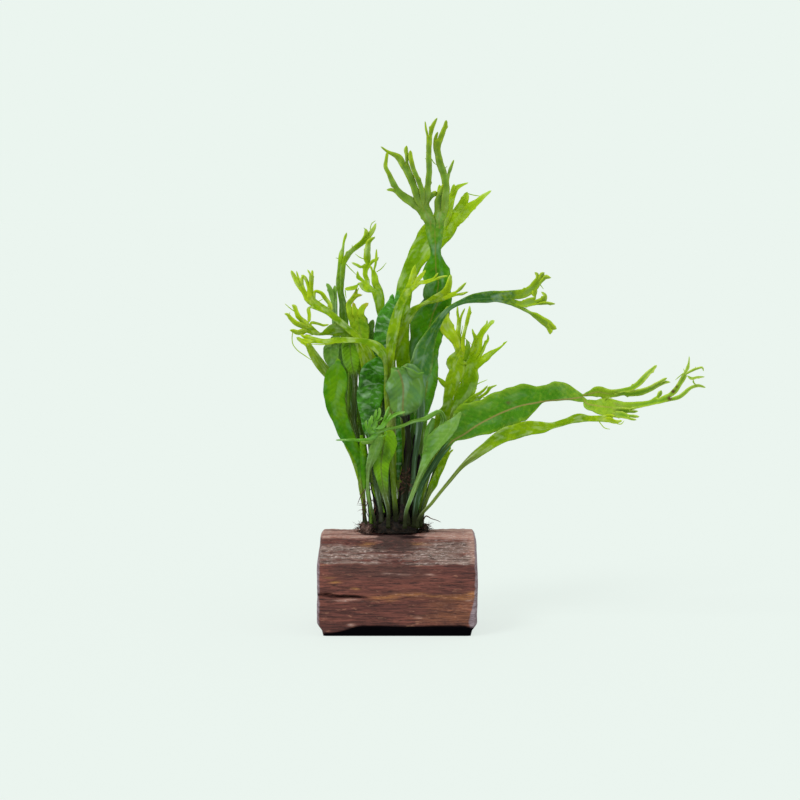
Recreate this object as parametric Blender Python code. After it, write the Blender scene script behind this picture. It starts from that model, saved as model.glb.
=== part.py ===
"""A lace-tipped java fern that grows on a short split block of driftwood.

Every length is in millimetres and becomes metres where a mesh is made. The origin is the middle of the
block's flat underside, +Z is up and -Y is the front.

A frond is one closed thin solid: a stalk that widens into a blade, and a crest whose straps fork again and
again. Fronds are laid out as an eye in front of the plant sees them: `across` and `up` are places on the
upright plane y = 0, and a depth then moves each place along the eye's line of sight, so that a frond can be
brought forward or sent back without a change to how it looks from the front.
"""

import math

import bmesh
import bpy
from mathutils import Vector

# Driving dimensions, in millimetres.
MM = 0.001
BLOCK_LENGTH = 58.0
BLOCK_TOP = 36.2
GAP = 0.35  # clear space between pieces that touch
EYE = Vector((1.0, -900.0, 155.0))  # where the fronds are seen from when they are laid out
LEAF_THICKNESS = 0.6
THINNEST_HALF_WIDTH = 0.32  # of a strap's solid
BLUNT_FROM = 0.3  # a strap whose last half width is more than this ends blunt
RHIZOME_CENTRE = Vector((-0.8, 1.5, BLOCK_TOP + GAP))
RHIZOME_HALF = Vector((8.6, 7.6, 6.0))  # half length, half depth and height
RHIZOME_POWER = 3.0  # 2 is an ellipsoid, more is boxier


# The driftwood's outline from the end, front at -y, as (y, z), with the height of the grooves that the
# front face shows: a low split, a ridge and a weathered upper slope.
BLOCK_SECTION = (
    (-16.0, 0.0),
    (-19.6, 2.2),
    (-20.8, 7.5),
    (-21.2, 12.5),
    (-19.6, 14.6),
    (-22.2, 16.6),
    (-22.6, 22.0),
    (-21.5, 27.5),
    (-16.5, 31.8),
    (-11.0, 35.2),
    (-5.0, BLOCK_TOP),
    (10.0, BLOCK_TOP),
    (16.5, 33.2),
    (21.2, 27.0),
    (22.6, 17.0),
    (20.6, 6.0),
    (16.0, 0.0),
)


def strap(lean, points, *branches):
    """One strap of a crest.

    lean is how far its end comes forward (-) or goes back (+), points are (across, up, half width) from its
    foot to its end, and branches are the straps that it forks into, from left to right as it runs.
    """
    return {"lean": lean, "points": points, "branches": branches}


def fan(across, up, heading, reach, forks, lean=0.0):
    """A plain crest for a frond that others hide: forks straps that spread out and each fork once.

    across and up are where it starts, heading is its direction in degrees from straight up, to the right.
    """
    straps = []
    for i in range(forks):
        side = 2.0 * i / (forks - 1) - 1.0
        turn = math.radians(heading + 34.0 * side)
        length = reach * (1.0 - 0.25 * side * side)
        middle = (across + 0.55 * length * math.sin(turn), up + 0.55 * length * math.cos(turn))
        tips = []
        for turned in (-0.32, 0.3):
            tip_u = middle[0] + 0.5 * length * math.sin(turn + turned)
            tip_w = middle[1] + 0.5 * length * math.cos(turn + turned)
            tips.append(strap(lean * (0.6 + 0.4 * side), ((tip_u, tip_w, 0.35),)))
        straps.append(strap(lean + 1.2 * side, ((middle[0], middle[1], 0.85),), *tips))
    return straps


# Each frond's foot is (x, y) on the rhizome. depths are evenly spaced along its blade after the foot's own y.
# A blade's points are (across, up, half width) or, where its two sides differ, (across, up, left, right).
# roll turns the blade about its spine: its right side goes back by roll times the half width, and fold
# brings both sides forward by fold times the half width.
FRONDS = {
    "tall_frond": dict(
        foot=(4.0, 0.8),
        depths=(1.0, 1.5, 1.0, -0.5, -1.5),
        roll=0.12,
        fold=0.12,
        blade=(
            (4.4, 52, 1.0),
            (5.6, 64, 1.1),
            (7.4, 75, 1.7),
            (9.6, 85, 3.0),
            (11.0, 93, 3.9),
            (9.9, 101, 5.2),
            (10.2, 108, 5.7),
            (11.8, 114, 6.0),
            (13.7, 121, 6.0),
            (15.0, 127, 4.8),
            (14.6, 134, 4.9),
            (14.0, 138, 3.8),
            (14.0, 141, 1.7),
            (13.8, 145, 2.9),
            (13.3, 151, 4.3),
            (12.7, 156, 4.6),
        ),
        crest=(
            strap(
                -1.5,
                ((5.6, 160.1, 1.5), (1.5, 163.2, 1.4)),
                strap(-1.0, ((-1.4, 164.7, 0.5), (-4.2, 164.7, 0.15))),
                strap(1.0, ((-2.3, 168.2, 1.0), (-4.6, 173.0, 0.75), (-4.4, 178.4, 0.5))),
            ),
            strap(
                0.5,
                ((6.7, 163.5, 1.0), (5.2, 169.0, 1.0), (2.7, 174.5, 1.2)),
                strap(-1.0, ((-1.0, 178.0, 0.7), (-6.3, 180.8, 0.15))),
                strap(0.5, ((3.2, 178.0, 0.6), (3.2, 181.0, 0.25))),
            ),
            strap(-1.0, ((8.7, 165.5, 0.8), (6.3, 172.0, 0.75), (4.6, 179.7, 0.6))),
            strap(
                -2.0,
                ((11.2, 163.5, 1.3), (11.6, 171.0, 1.0), (11.8, 179.0, 0.95), (11.2, 184.5, 0.85)),
                strap(0.5, ((10.1, 190.2, 0.1),)),
                strap(-1.0, ((12.9, 188.0, 0.5), (14.6, 191.4, 0.2))),
            ),
            strap(1.0, ((13.6, 163.2, 0.8), (15.0, 163.9, 0.5))),
            strap(-1.5, ((15.2, 160.0, 1.5), (16.9, 167.4, 0.2))),
            strap(
                1.5,
                ((17.9, 161.5, 1.0), (18.2, 167.0, 1.0), (17.4, 171.0, 1.5)),
                strap(
                    -1.0,
                    ((15.6, 174.6, 1.0), (15.0, 180.0, 1.15), (15.4, 184.2, 1.5)),
                    strap(0.3, ((14.8, 186.1, 0.25),)),
                    strap(-0.5, ((17.3, 187.4, 0.75), (18.0, 190.4, 0.35))),
                ),
                strap(0.5, ((19.7, 172.9, 0.5), (20.9, 175.8, 0.2))),
            ),
        ),
    ),
    "tall_back_frond": dict(
        foot=(1.2, 4.2),
        depths=(6.0, 8.0, 9.0, 10.0, 10.5),
        roll=-0.2,
        fold=0.15,
        blade=(
            (1.5, 56, 0.9),
            (2.0, 75, 1.1),
            (2.0, 92, 1.8),
            (1.6, 105, 2.6),
            (1.6, 116, 2.8),
            (2.4, 127, 2.8),
            (4.9, 136, 3.1),
            (8.8, 143.5, 3.6),
            (14.2, 148.8, 3.2, 4.6),
        ),
        crest=(
            strap(0.0, ((14.8, 158.0, 2.2), (15.3, 166.6, 0.6))),
            strap(
                -1.0,
                ((18.9, 152.5, 1.3), (20.1, 160.0, 1.1)),
                strap(0.5, ((21.0, 166.5, 0.7),)),
                strap(-0.5, ((22.8, 165.8, 0.5), (26.1, 167.4, 0.15))),
            ),
            strap(1.0, ((21.0, 153.0, 1.5), (23.8, 158.5, 1.7), (26.0, 163.8, 0.6))),
            strap(0.0, ((21.2, 150.8, 1.3), (26.0, 156.8, 1.5), (30.2, 161.0, 0.9), (34.6, 164.4, 0.25))),
        ),
    ),
    "light_centre_frond": dict(
        foot=(-1.2, -0.6),
        depths=(-3.0, -6.0, -8.0),
        roll=-0.25,
        fold=0.2,
        blade=(
            (-1.2, 56, 0.9),
            (-1.6, 74, 1.0),
            (-1.8, 92, 1.5),
            (-1.4, 103, 2.4),
            (0.2, 112, 2.6),
            (2.0, 120, 2.4),
            (4.6, 127.5, 2.1),
        ),
        crest=(
            strap(1.0, ((4.9, 132.0, 1.2), (6.2, 136.0, 0.4))),
            strap(-1.0, ((7.4, 131.8, 0.8), (10.8, 135.4, 0.2))),
            strap(
                -1.0,
                ((8.2, 129.4, 0.6), (13.6, 131.2, 0.5)),
                strap(-0.5, ((15.0, 133.9, 0.3),)),
                strap(0.3, ((18.8, 132.6, 0.2),)),
            ),
        ),
    ),
    "crossing_frond": dict(
        foot=(1.6, -1.8),
        depths=(-3.0, -3.0, -4.2, -6.0),
        roll=0.5,
        fold=0.1,
        blade=(
            (1.6, 62, 0.9),
            (0.8, 82, 1.2),
            (0.6, 98, 2.0),
            (2.4, 108, 2.0),
            (5.0, 117, 1.5),
            (9.0, 121.4, 0.6),
            (13.0, 123.9, 1.0),
            (16.3, 125.3, 1.4),
        ),
        crest=(
            strap(0.5, ((18.2, 127.8, 1.2), (19.4, 131.0, 0.9), (20.1, 133.8, 0.3))),
            strap(-1.0, ((19.8, 126.0, 0.8), (22.8, 127.6, 0.6), (25.6, 130.3, 0.15))),
        ),
    ),
    "arching_frond": dict(
        foot=(1.0, -4.4),
        depths=(-5.5, -6.5, -7.5, -9.0, -10.0),
        roll=0.9,
        fold=0.05,
        blade=(
            (3.4, 47, 0.9),
            (5.4, 54, 0.9),
            (6.2, 63, 0.9),
            (7.6, 73, 1.0),
            (8.6, 84, 1.6),
            (8.0, 93, 2.8),
            (8.0, 99, 3.8),
            (9.6, 104.5, 3.4),
            (12.4, 110.5, 2.2),
            (15.4, 116.2, 1.3),
            (19.2, 120.6, 1.0),
            (24.0, 123.2, 1.1),
            (30.0, 124.4, 1.6),
            (36.0, 124.6, 1.8),
            (42.0, 124.3, 2.6),
        ),
        crest=(
            strap(
                1.0,
                ((46.5, 126.3, 1.2), (50.2, 128.3, 1.7)),
                strap(-0.5, ((51.6, 134.1, 0.4),)),
                strap(-1.0, ((53.4, 131.2, 0.8), (57.0, 132.2, 0.25))),
                strap(0.5, ((54.3, 128.3, 0.4),)),
            ),
            strap(
                -1.0,
                ((47.2, 121.9, 1.7), (51.0, 123.6, 1.6)),
                strap(0.5, ((51.2, 127.2, 0.9),)),
                strap(-0.5, ((54.6, 124.2, 1.3), (54.2, 126.9, 0.35))),
                strap(0.0, ((58.7, 122.4, 0.2),)),
            ),
            strap(
                -2.5,
                ((48.4, 119.5, 0.4), (52.2, 117.0, 1.0), (55.4, 114.2, 1.3)),
                strap(-0.3, ((59.2, 112.7, 0.5),)),
                strap(-0.6, ((57.0, 110.8, 0.7),)),
            ),
        ),
    ),
    "long_right_frond": dict(
        foot=(6.2, -4.6),
        depths=(-6.5, -9.0, -11.0, -13.0, -14.0, -15.0),
        roll=0.12,
        fold=0.12,
        blade=(
            (9.0, 54, 1.0),
            (13.0, 61, 1.1),
            (17.8, 68, 1.4),
            (21.0, 71.2, 3.0, 0.8),
            (24.6, 73.2, 6.6, 2.2),
            (29.2, 76.4, 8.6, 4.2),
            (34.4, 79.3, 8.6, 5.8),
            (40.2, 82.0, 7.8, 5.0),
            (47.0, 84.3, 7.6, 5.2),
            (51.8, 85.2, 6.2, 2.2),
            (55.0, 85.7, 5.9, 0.6),
            (60.0, 86.3, 6.7, 0.5),
            (64.6, 86.7, 5.6, 0.6),
            (67.6, 87.1, 2.8, 0.8),
            (69.4, 87.5, 1.1, 1.0),
        ),
        crest=(
            strap(
                1.5,
                ((71.6, 88.9, 1.0), (75.4, 89.8, 1.9), (79.0, 89.2, 1.2)),
                strap(-1.5, ((86.2, 90.1, 0.75), (90.6, 93.0, 0.95), (96.8, 99.4, 0.65))),
                strap(-2.0, ((87.6, 88.7, 0.85), (94.0, 90.7, 0.8), (101.2, 93.8, 0.7))),
            ),
            strap(
                -1.5,
                ((70.8, 84.9, 1.2), (74.6, 83.9, 2.2), (78.8, 83.9, 3.0), (82.0, 83.8, 2.8)),
                strap(
                    -3.0,
                    ((86.4, 84.3, 1.1), (92.0, 84.9, 0.65), (97.0, 85.7, 1.0), (101.6, 87.0, 1.5)),
                    strap(1.0, ((98.7, 89.4, 0.7),)),
                    strap(
                        -2.0,
                        ((104.6, 91.0, 0.9), (107.6, 95.4, 0.95)),
                        strap(1.0, ((109.1, 102.6, 0.25),)),
                        strap(-1.0, ((110.6, 97.4, 0.35), (114.6, 98.2, 0.3))),
                        strap(-1.0, ((110.8, 94.3, 0.4), (114.8, 94.8, 0.2))),
                    ),
                    strap(-1.0, ((106.6, 87.9, 0.6), (110.8, 91.2, 0.55), (115.4, 90.9, 0.3))),
                ),
                strap(-1.0, ((86.8, 82.4, 1.0), (90.1, 82.2, 0.5))),
                strap(-1.5, ((84.4, 80.7, 1.0), (90.3, 79.8, 0.6))),
            ),
        ),
    ),
    "low_right_frond": dict(
        foot=(7.4, -7.2),
        depths=(-9.0, -12.0, -15.0, -18.0, -20.0),
        roll=0.2,
        fold=0.15,
        blade=(
            (13.1, 48.0, 0.6),
            (19.4, 55.3, 0.55),
            (25.4, 61.6, 0.65),
            (29.0, 64.5, 1.4),
            (33.8, 68.2, 1.8),
            (37.9, 71.6, 2.5),
            (43.0, 73.3, 2.7),
            (48.8, 75.2, 2.8),
            (54.0, 75.6, 2.2),
            (58.4, 76.7, 1.2),
            (63.0, 78.0, 1.2),
            (67.6, 79.4, 1.7),
            (72.4, 79.2, 1.1),
            (76.4, 79.2, 1.2),
        ),
        crest=(
            strap(0.5, ((80.2, 80.0, 0.7),)),
            strap(-0.5, ((79.6, 78.6, 0.8), (84.2, 78.4, 0.3))),
        ),
    ),
    "small_yellow_frond": dict(
        foot=(8.6, -2.6),
        depths=(-3.0, -3.5),
        roll=-0.3,
        fold=0.1,
        blade=(
            (10.4, 48.5, 0.9),
            (12.4, 53.0, 1.4),
            (14.6, 57.8, 1.5),
            (16.6, 62.0, 1.2),
            (18.6, 65.4, 1.0),
        ),
        crest=(
            strap(0.3, ((20.0, 68.0, 0.5),)),
            strap(-0.3, ((20.8, 66.8, 0.35),)),
        ),
    ),
    "broad_pale_frond": dict(
        foot=(2.6, -7.4),
        depths=(-9.5, -12.0, -15.0),
        roll=-0.2,
        fold=0.1,
        blade=(
            (5.2, 50.5, 0.9),
            (8.0, 57.0, 1.6, 0.8),
            (11.0, 62.5, 3.6, 0.9),
            (14.0, 67.2, 5.0, 1.1),
            (17.4, 72.0, 6.4, 1.4),
            (20.2, 76.2, 6.8, 1.5),
            (21.6, 79.6, 5.4, 1.6),
        ),
        crest=(
            strap(0.5, ((16.8, 82.2, 1.4), (16.6, 84.6, 0.6))),
            strap(-0.3, ((20.6, 83.2, 0.8),)),
            strap(-0.5, ((24.4, 82.4, 0.6),)),
        ),
    ),
    "yellow_right_frond": dict(
        foot=(7.0, 1.8),
        depths=(2.0, 2.0, 1.0, 0.0),
        roll=0.3,
        fold=0.15,
        blade=(
            (9.0, 56, 0.9),
            (11.6, 68, 1.0),
            (14.6, 76.5, 1.6),
            (17.4, 82, 2.4),
            (19.2, 88, 2.1),
            (20.2, 94, 2.6),
            (21.0, 99.5, 3.1),
            (23.4, 103.6, 1.8),
        ),
        crest=(
            strap(-1.5, ((22.4, 107.2, 1.2), (19.4, 112.2, 2.5), (18.7, 116.4, 1.5), (19.6, 120.0, 0.5))),
            strap(
                0.5,
                ((22.9, 110.5, 0.9), (22.7, 115.0, 0.7)),
                strap(0.5, ((22.2, 121.2, 0.3),)),
                strap(-0.5, ((25.1, 120.5, 0.25),)),
            ),
            strap(1.0, ((24.4, 109.0, 0.9), (25.6, 115.0, 0.6), (26.9, 121.4, 0.3))),
        ),
    ),
    "yellow_right_back_frond": dict(
        foot=(8.0, 4.6),
        depths=(6.0, 7.0, 7.0, 6.0),
        roll=-0.2,
        fold=0.15,
        blade=(
            (11.4, 58, 0.9),
            (15.8, 70, 1.0),
            (20.4, 80, 1.2),
            (24.0, 87.5, 2.6),
            (26.4, 93.0, 3.5),
            (27.4, 98.0, 3.4),
            (28.4, 102.2, 3.7),
        ),
        crest=(
            strap(0.5, ((28.0, 106.0, 1.1), (29.2, 109.4, 0.7), (27.8, 112.9, 0.2))),
            strap(
                -1.0,
                ((30.3, 107.5, 1.2), (32.6, 112.4, 1.0)),
                strap(0.3, ((33.5, 116.1, 0.25),)),
                strap(-0.3, ((36.1, 116.0, 0.7),)),
            ),
            strap(1.0, ((32.2, 105.4, 0.6), (33.9, 108.5, 0.35))),
            strap(-1.0, ((33.4, 102.8, 1.1), (37.2, 105.1, 0.4), (41.0, 108.3, 0.12))),
        ),
    ),
    "right_behind_frond": dict(
        foot=(9.0, 1.0),
        depths=(0.0, -2.5, -4.0),
        roll=0.2,
        fold=0.1,
        blade=(
            (13.6, 58, 0.8),
            (18.0, 70, 1.0),
            (22.6, 78, 2.0),
            (26.6, 83.6, 2.6),
            (29.6, 87.2, 1.6),
        ),
        crest=(
            strap(0.5, ((32.6, 90.3, 0.35),)),
            strap(0.5, ((33.2, 88.4, 0.5), (33.9, 91.7, 0.25))),
            strap(-0.5, ((35.0, 90.4, 0.4), (37.4, 91.9, 0.15))),
        ),
    ),
    "round_front_frond": dict(
        foot=(3.4, -4.9),
        depths=(-6.5, -9.0, -13.0, -17.0),
        roll=0.1,
        fold=-0.15,
        blade=(
            (3.2, 57, 0.8),
            (3.4, 66, 0.9),
            (4.2, 74, 0.9),
            (2.9, 79.5, 1.6),
            (2.0, 83.0, 4.2, 5.6),
            (1.7, 88.0, 5.6, 8.4),
            (1.7, 92.5, 6.1, 7.9),
            (1.6, 96.0, 4.6, 6.4),
        ),
        crest=(
            strap(-0.8, ((-0.8, 97.6, 1.3),)),
            strap(-0.8, ((3.6, 97.4, 1.0),)),
            strap(-0.8, ((9.3, 96.2, 0.3),)),
        ),
    ),
    "front_strap_frond": dict(
        foot=(5.6, -1.6),
        depths=(-3.0, -4.0, -5.0, -7.5, -14.0, -18.5, -20.5),
        roll=-0.5,
        fold=0.1,
        blade=(
            (8.2, 54, 0.8),
            (12.2, 65, 0.9),
            (16.4, 75, 1.0),
            (18.2, 80.0, 1.0),
            (16.8, 82.5, 0.9),
            (13.6, 81.4, 0.9),
            (9.8, 79.7, 0.9),
            (5.0, 78.2, 0.8),
            (0.0, 76.8, 0.8),
            (-4.4, 75.8, 1.1),
            (-8.4, 74.5, 1.8),
        ),
        crest=(
            strap(
                -1.5,
                ((-11.6, 73.0, 1.2),),
                strap(-1.0, ((-14.4, 71.3, 0.5), (-19.0, 71.2, 0.35))),
                strap(0.5, ((-13.4, 74.6, 0.5),)),
            ),
            strap(
                -0.5,
                ((-9.4, 77.5, 1.2), (-7.9, 80.3, 1.0)),
                strap(0.3, ((-7.5, 82.7, 0.35),)),
                strap(-0.3, ((-6.0, 82.4, 0.35),)),
            ),
            strap(
                0.5,
                ((-5.6, 78.4, 1.0),),
                strap(0.3, ((-3.6, 81.3, 0.8), (-2.8, 83.8, 0.35))),
                strap(-0.3, ((-2.6, 80.1, 0.5), (2.5, 81.7, 0.4))),
            ),
        ),
    ),
    "small_front_frond": dict(
        foot=(-8.6, -4.8),
        depths=(-8.0, -11.0, -14.0),
        roll=0.2,
        fold=0.2,
        blade=(
            (-11.0, 50, 0.6),
            (-11.3, 56, 0.8),
            (-10.8, 60, 1.8),
            (-9.6, 64, 3.2),
            (-8.2, 68, 3.8),
            (-7.2, 71.5, 3.0),
        ),
        crest=(
            strap(-0.4, ((-7.6, 74.6, 0.8),)),
            strap(0.4, ((-5.2, 74.4, 0.8),)),
        ),
    ),
    "lower_light_frond": dict(
        foot=(-3.6, -6.2),
        depths=(-8.0, -9.5, -11.0),
        roll=-0.2,
        fold=0.15,
        blade=(
            (-4.6, 47.5, 1.4),
            (-5.6, 53.0, 2.4),
            (-5.5, 58.5, 3.2),
            (-4.8, 64.0, 3.9),
            (-4.1, 69.0, 3.8),
            (-3.6, 73.0, 2.8),
        ),
        crest=(
            strap(-0.5, ((-4.4, 76.5, 0.9),)),
            strap(0.5, ((-1.6, 76.0, 0.8),)),
        ),
    ),
    "broad_left_frond": dict(
        foot=(-12.0, -2.6),
        depths=(-5.0, -8.0, -11.0, -13.0),
        roll=-0.15,
        fold=0.15,
        blade=(
            (-13.2, 50.0, 0.8),
            (-14.0, 56.5, 1.2),
            (-15.4, 62.5, 1.8),
            (-17.5, 69.0, 2.5),
            (-19.9, 75.5, 3.1),
            (-22.1, 82.0, 3.8),
            (-23.1, 88.5, 3.8),
            (-23.2, 94.5, 3.4),
            (-22.4, 98.6, 2.2),
        ),
        crest=(
            strap(-0.4, ((-23.4, 101.0, 0.6),)),
            strap(0.4, ((-20.8, 100.4, 0.7),)),
        ),
    ),
    "yellow_left_frond": dict(
        foot=(-12.6, 0.2),
        depths=(-0.3, -0.8, -3.0, -5.0),
        roll=0.3,
        fold=0.1,
        blade=(
            (-13.4, 56, 0.7),
            (-15.2, 70, 0.9),
            (-19.6, 84, 1.2),
            (-24.6, 94.2, 1.8),
            (-28.4, 98.8, 1.9),
            (-31.4, 103.0, 1.7),
            (-33.4, 106.6, 1.1),
        ),
        crest=(
            strap(-1.0, ((-36.6, 108.9, 0.6), (-38.0, 109.7, 0.25))),
            strap(0.8, ((-33.6, 109.6, 0.6),)),
        ),
    ),
    "streaky_left_frond": dict(
        foot=(-9.8, -1.6),
        depths=(-2.6, -3.2, -2.0, -0.8),
        roll=-0.1,
        fold=0.2,
        blade=(
            (-12.8, 54, 0.6),
            (-14.8, 64, 0.65),
            (-16.0, 76, 0.7),
            (-16.7, 86, 0.9),
            (-16.9, 92, 2.0),
            (-17.0, 97, 3.4),
            (-17.2, 102, 4.0),
            (-17.3, 106.5, 3.2),
        ),
        crest=fan(-17.4, 107.0, -4.0, 6.0, 3, -0.5),
    ),
    "dark_glossy_frond": dict(
        foot=(-6.2, -3.4),
        depths=(-5.5, -7.5, -9.0),
        roll=0.35,
        fold=0.2,
        blade=(
            (-8.8, 51, 0.7),
            (-10.8, 62, 0.8),
            (-11.4, 72, 1.2),
            (-11.3, 79, 2.8),
            (-10.9, 85, 4.0),
            (-10.0, 91, 4.7),
            (-9.2, 96.5, 4.9),
            (-9.2, 101.0, 3.8),
        ),
        crest=(
            strap(0.5, ((-11.6, 105.0, 1.0),)),
            strap(-0.5, ((-8.2, 105.4, 0.9),)),
        ),
    ),
    "glossy_centre_frond": dict(
        foot=(-3.4, -2.4),
        depths=(-3.0, -2.5, -2.0),
        roll=-0.2,
        fold=0.2,
        blade=(
            (-3.8, 58, 0.8),
            (-4.6, 76, 0.9),
            (-5.2, 92, 1.6),
            (-5.6, 101, 3.0),
            (-5.4, 108, 3.8),
            (-4.7, 114, 3.8),
            (-3.2, 119, 3.2),
            (-1.6, 123, 2.0),
        ),
        crest=(
            strap(0.5, ((-2.0, 126.0, 0.6),)),
            strap(-0.5, ((0.2, 127.6, 0.5),)),
        ),
    ),
    "left_spire_frond": dict(
        foot=(-7.4, 5.4),
        depths=(7.0, 8.5, 9.5, 10.0),
        roll=0.3,
        fold=0.1,
        blade=(
            (-11.4, 62, 0.8),
            (-16.4, 84, 1.0),
            (-20.4, 104, 1.2),
            (-21.9, 117, 1.5),
            (-21.9, 124, 1.5),
            (-21.5, 130, 1.6),
            (-21.1, 136, 1.55),
        ),
        crest=(
            strap(0.5, ((-20.9, 141.5, 0.6), (-20.0, 145.5, 0.3), (-19.0, 148.9, 0.3))),
            strap(
                -1.5,
                ((-19.0, 140.0, 0.8), (-16.0, 143.3, 0.8), (-12.9, 145.8, 1.0)),
                strap(0.5, ((-11.8, 150.3, 0.4),)),
                strap(-0.5, ((-10.2, 148.6, 0.75), (-8.1, 152.3, 0.3))),
            ),
        ),
    ),
    "left_branching_frond": dict(
        foot=(-3.2, 3.2),
        depths=(4.0, 4.5, 4.0, 3.0),
        roll=0.25,
        fold=0.15,
        blade=(
            (-3.2, 60, 0.8),
            (-3.0, 82, 1.0),
            (-3.2, 102, 1.4),
            (-4.8, 114, 1.7),
            (-6.7, 121.0, 1.8),
            (-7.3, 126.0, 2.1),
        ),
        crest=(
            strap(
                1.0,
                ((-10.4, 128.0, 1.0), (-12.8, 130.4, 2.0)),
                strap(0.5, ((-16.0, 128.1, 0.5), (-19.6, 127.8, 0.35))),
                strap(-0.5, ((-15.1, 134.2, 0.3),)),
                strap(
                    0.5,
                    ((-11.9, 134.5, 0.9), (-11.6, 137.2, 1.2)),
                    strap(-1.0, ((-14.8, 136.6, 0.45), (-17.1, 137.6, 0.3))),
                    strap(0.3, ((-11.7, 141.0, 1.2), (-11.0, 145.6, 0.7), (-9.0, 148.0, 0.3))),
                    strap(1.0, ((-9.2, 138.0, 0.5),)),
                ),
            ),
            strap(
                -1.0,
                ((-8.2, 131.0, 1.2), (-8.7, 135.0, 0.6)),
                strap(0.5, ((-8.0, 139.0, 0.7), (-8.0, 143.0, 0.2))),
            ),
        ),
    ),
    "upper_left_frond": dict(
        foot=(-5.2, 0.2),
        depths=(-1.0, -2.5, -5.5, -7.5, -9.0),
        roll=0.5,
        fold=0.15,
        blade=(
            (-6.4, 60, 0.8),
            (-7.4, 82, 1.0),
            (-9.6, 101, 1.1),
            (-14.2, 108.8, 1.0),
            (-18.6, 112.9, 1.2),
            (-23.6, 117.2, 1.4),
            (-28.6, 120.5, 1.3),
            (-31.8, 122.6, 1.7),
        ),
        crest=(
            strap(0.0, ((-33.0, 119.4, 0.6), (-33.1, 115.4, 0.5))),
            strap(
                -1.5,
                ((-34.6, 126.5, 1.0), (-36.5, 130.0, 1.1)),
                strap(-0.5, ((-39.7, 134.3, 0.5),)),
                strap(0.5, ((-37.6, 134.3, 0.25),)),
            ),
            strap(
                0.5,
                ((-32.9, 127.0, 1.4),),
                strap(0.3, ((-34.5, 131.0, 0.6), (-35.4, 133.0, 0.3))),
                strap(-0.5, ((-32.3, 131.2, 0.7), (-32.4, 134.6, 0.6))),
            ),
            strap(1.5, ((-30.4, 126.6, 0.5), (-27.6, 124.6, 0.8), (-25.2, 121.6, 0.7))),
        ),
    ),
    "middle_left_frond": dict(
        foot=(-8.0, 1.4),
        depths=(0.0, -1.5, -3.5, -5.0, -6.0),
        roll=-0.5,
        fold=0.1,
        blade=(
            (-9.8, 62, 0.8),
            (-11.0, 84, 1.0),
            (-12.6, 102, 1.1),
            (-15.6, 109.6, 1.9),
            (-19.8, 112.0, 2.3),
            (-24.0, 112.6, 2.3),
            (-26.6, 111.8, 1.3),
            (-28.8, 110.9, 0.4),
            (-31.2, 112.2, 1.1),
        ),
        crest=(
            strap(-1.0, ((-35.8, 111.7, 0.9), (-40.3, 112.3, 0.5))),
            strap(
                0.5,
                ((-33.8, 114.0, 1.3),),
                strap(-0.5, ((-37.8, 115.0, 0.9), (-40.8, 117.6, 0.8), (-42.8, 118.8, 0.3))),
                strap(0.5, ((-36.0, 117.0, 1.0), (-38.7, 121.4, 0.7))),
            ),
        ),
    ),
    "low_left_strap_frond": dict(
        foot=(-0.8, -4.0),
        depths=(-5.0, -7.5, -10.5, -12.0, -12.5),
        roll=0.3,
        fold=0.15,
        blade=(
            (-2.0, 56, 0.8),
            (-2.4, 74, 0.9),
            (-3.0, 90, 1.0),
            (-4.4, 99, 1.4),
            (-6.4, 104.4, 1.9),
            (-10.6, 107.2, 1.3),
            (-16.0, 108.6, 1.0),
            (-22.0, 108.8, 1.2),
            (-28.0, 107.9, 0.9),
        ),
        crest=(
            strap(-0.5, ((-32.4, 107.5, 0.7), (-34.2, 107.0, 0.3))),
            strap(0.5, ((-32.6, 109.2, 0.7), (-37.2, 111.4, 0.3))),
        ),
    ),
    "short_left_frond": dict(
        foot=(-10.0, 3.4),
        depths=(4.0, 5.0, 5.0),
        roll=0.2,
        fold=0.1,
        blade=(
            (-13.4, 62, 0.7),
            (-18.4, 84, 0.8),
            (-22.2, 104, 0.9),
            (-23.6, 117, 1.2),
            (-24.0, 123, 1.2),
        ),
        crest=(
            strap(-0.5, ((-25.0, 127.6, 0.8), (-26.5, 129.8, 0.8))),
            strap(0.5, ((-23.5, 128.6, 0.6),)),
        ),
    ),
    "bronze_young_frond": dict(
        foot=(-6.2, 3.6),
        depths=(3.5, 3.0, 2.5),
        roll=-0.2,
        fold=0.1,
        blade=(
            (-9.2, 62, 0.7),
            (-12.0, 84, 0.8),
            (-13.2, 102, 1.2),
            (-13.6, 109, 2.6),
            (-14.2, 113, 3.5),
            (-15.0, 116, 3.2),
        ),
        crest=(
            strap(
                0.5,
                ((-18.2, 119.6, 1.0), (-18.2, 123.0, 0.9)),
                strap(-0.5, ((-14.9, 126.2, 0.4),)),
            ),
            strap(0.0, ((-16.4, 120.0, 0.8), (-16.6, 123.4, 0.5))),
            strap(-0.8, ((-13.8, 119.0, 1.1), (-13.1, 121.3, 0.85), (-11.2, 122.6, 0.35))),
        ),
    ),
    "pale_centre_left_frond": dict(
        foot=(-4.8, 2.4),
        depths=(3.4, 5.2, 5.0),
        roll=0.1,
        fold=0.1,
        blade=(
            (-5.0, 60, 0.7),
            (-7.4, 82, 0.8),
            (-9.2, 98, 1.4),
            (-10.6, 106, 2.6),
            (-11.4, 112, 2.4),
        ),
        crest=(
            strap(0.5, ((-12.9, 116.4, 1.0), (-14.6, 119.6, 0.35))),
            strap(-0.5, ((-9.4, 116.0, 1.0), (-8.2, 119.4, 0.35))),
        ),
    ),
    "pale_left_frond": dict(
        foot=(-10.4, 1.8),
        depths=(1.9, 1.7, 0.4),
        roll=-0.3,
        fold=0.15,
        blade=(
            (-13.0, 60, 0.7),
            (-16.8, 78, 0.9),
            (-20.8, 92, 1.4),
            (-24.2, 100.4, 2.6),
            (-25.4, 105.0, 2.6),
        ),
        crest=fan(-25.2, 105.4, 12.0, 5.0, 3, -0.5),
    ),
    "back_left_frond": dict(
        foot=(-4.6, 7.0),
        depths=(11.0, 17.0, 23.0),
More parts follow.
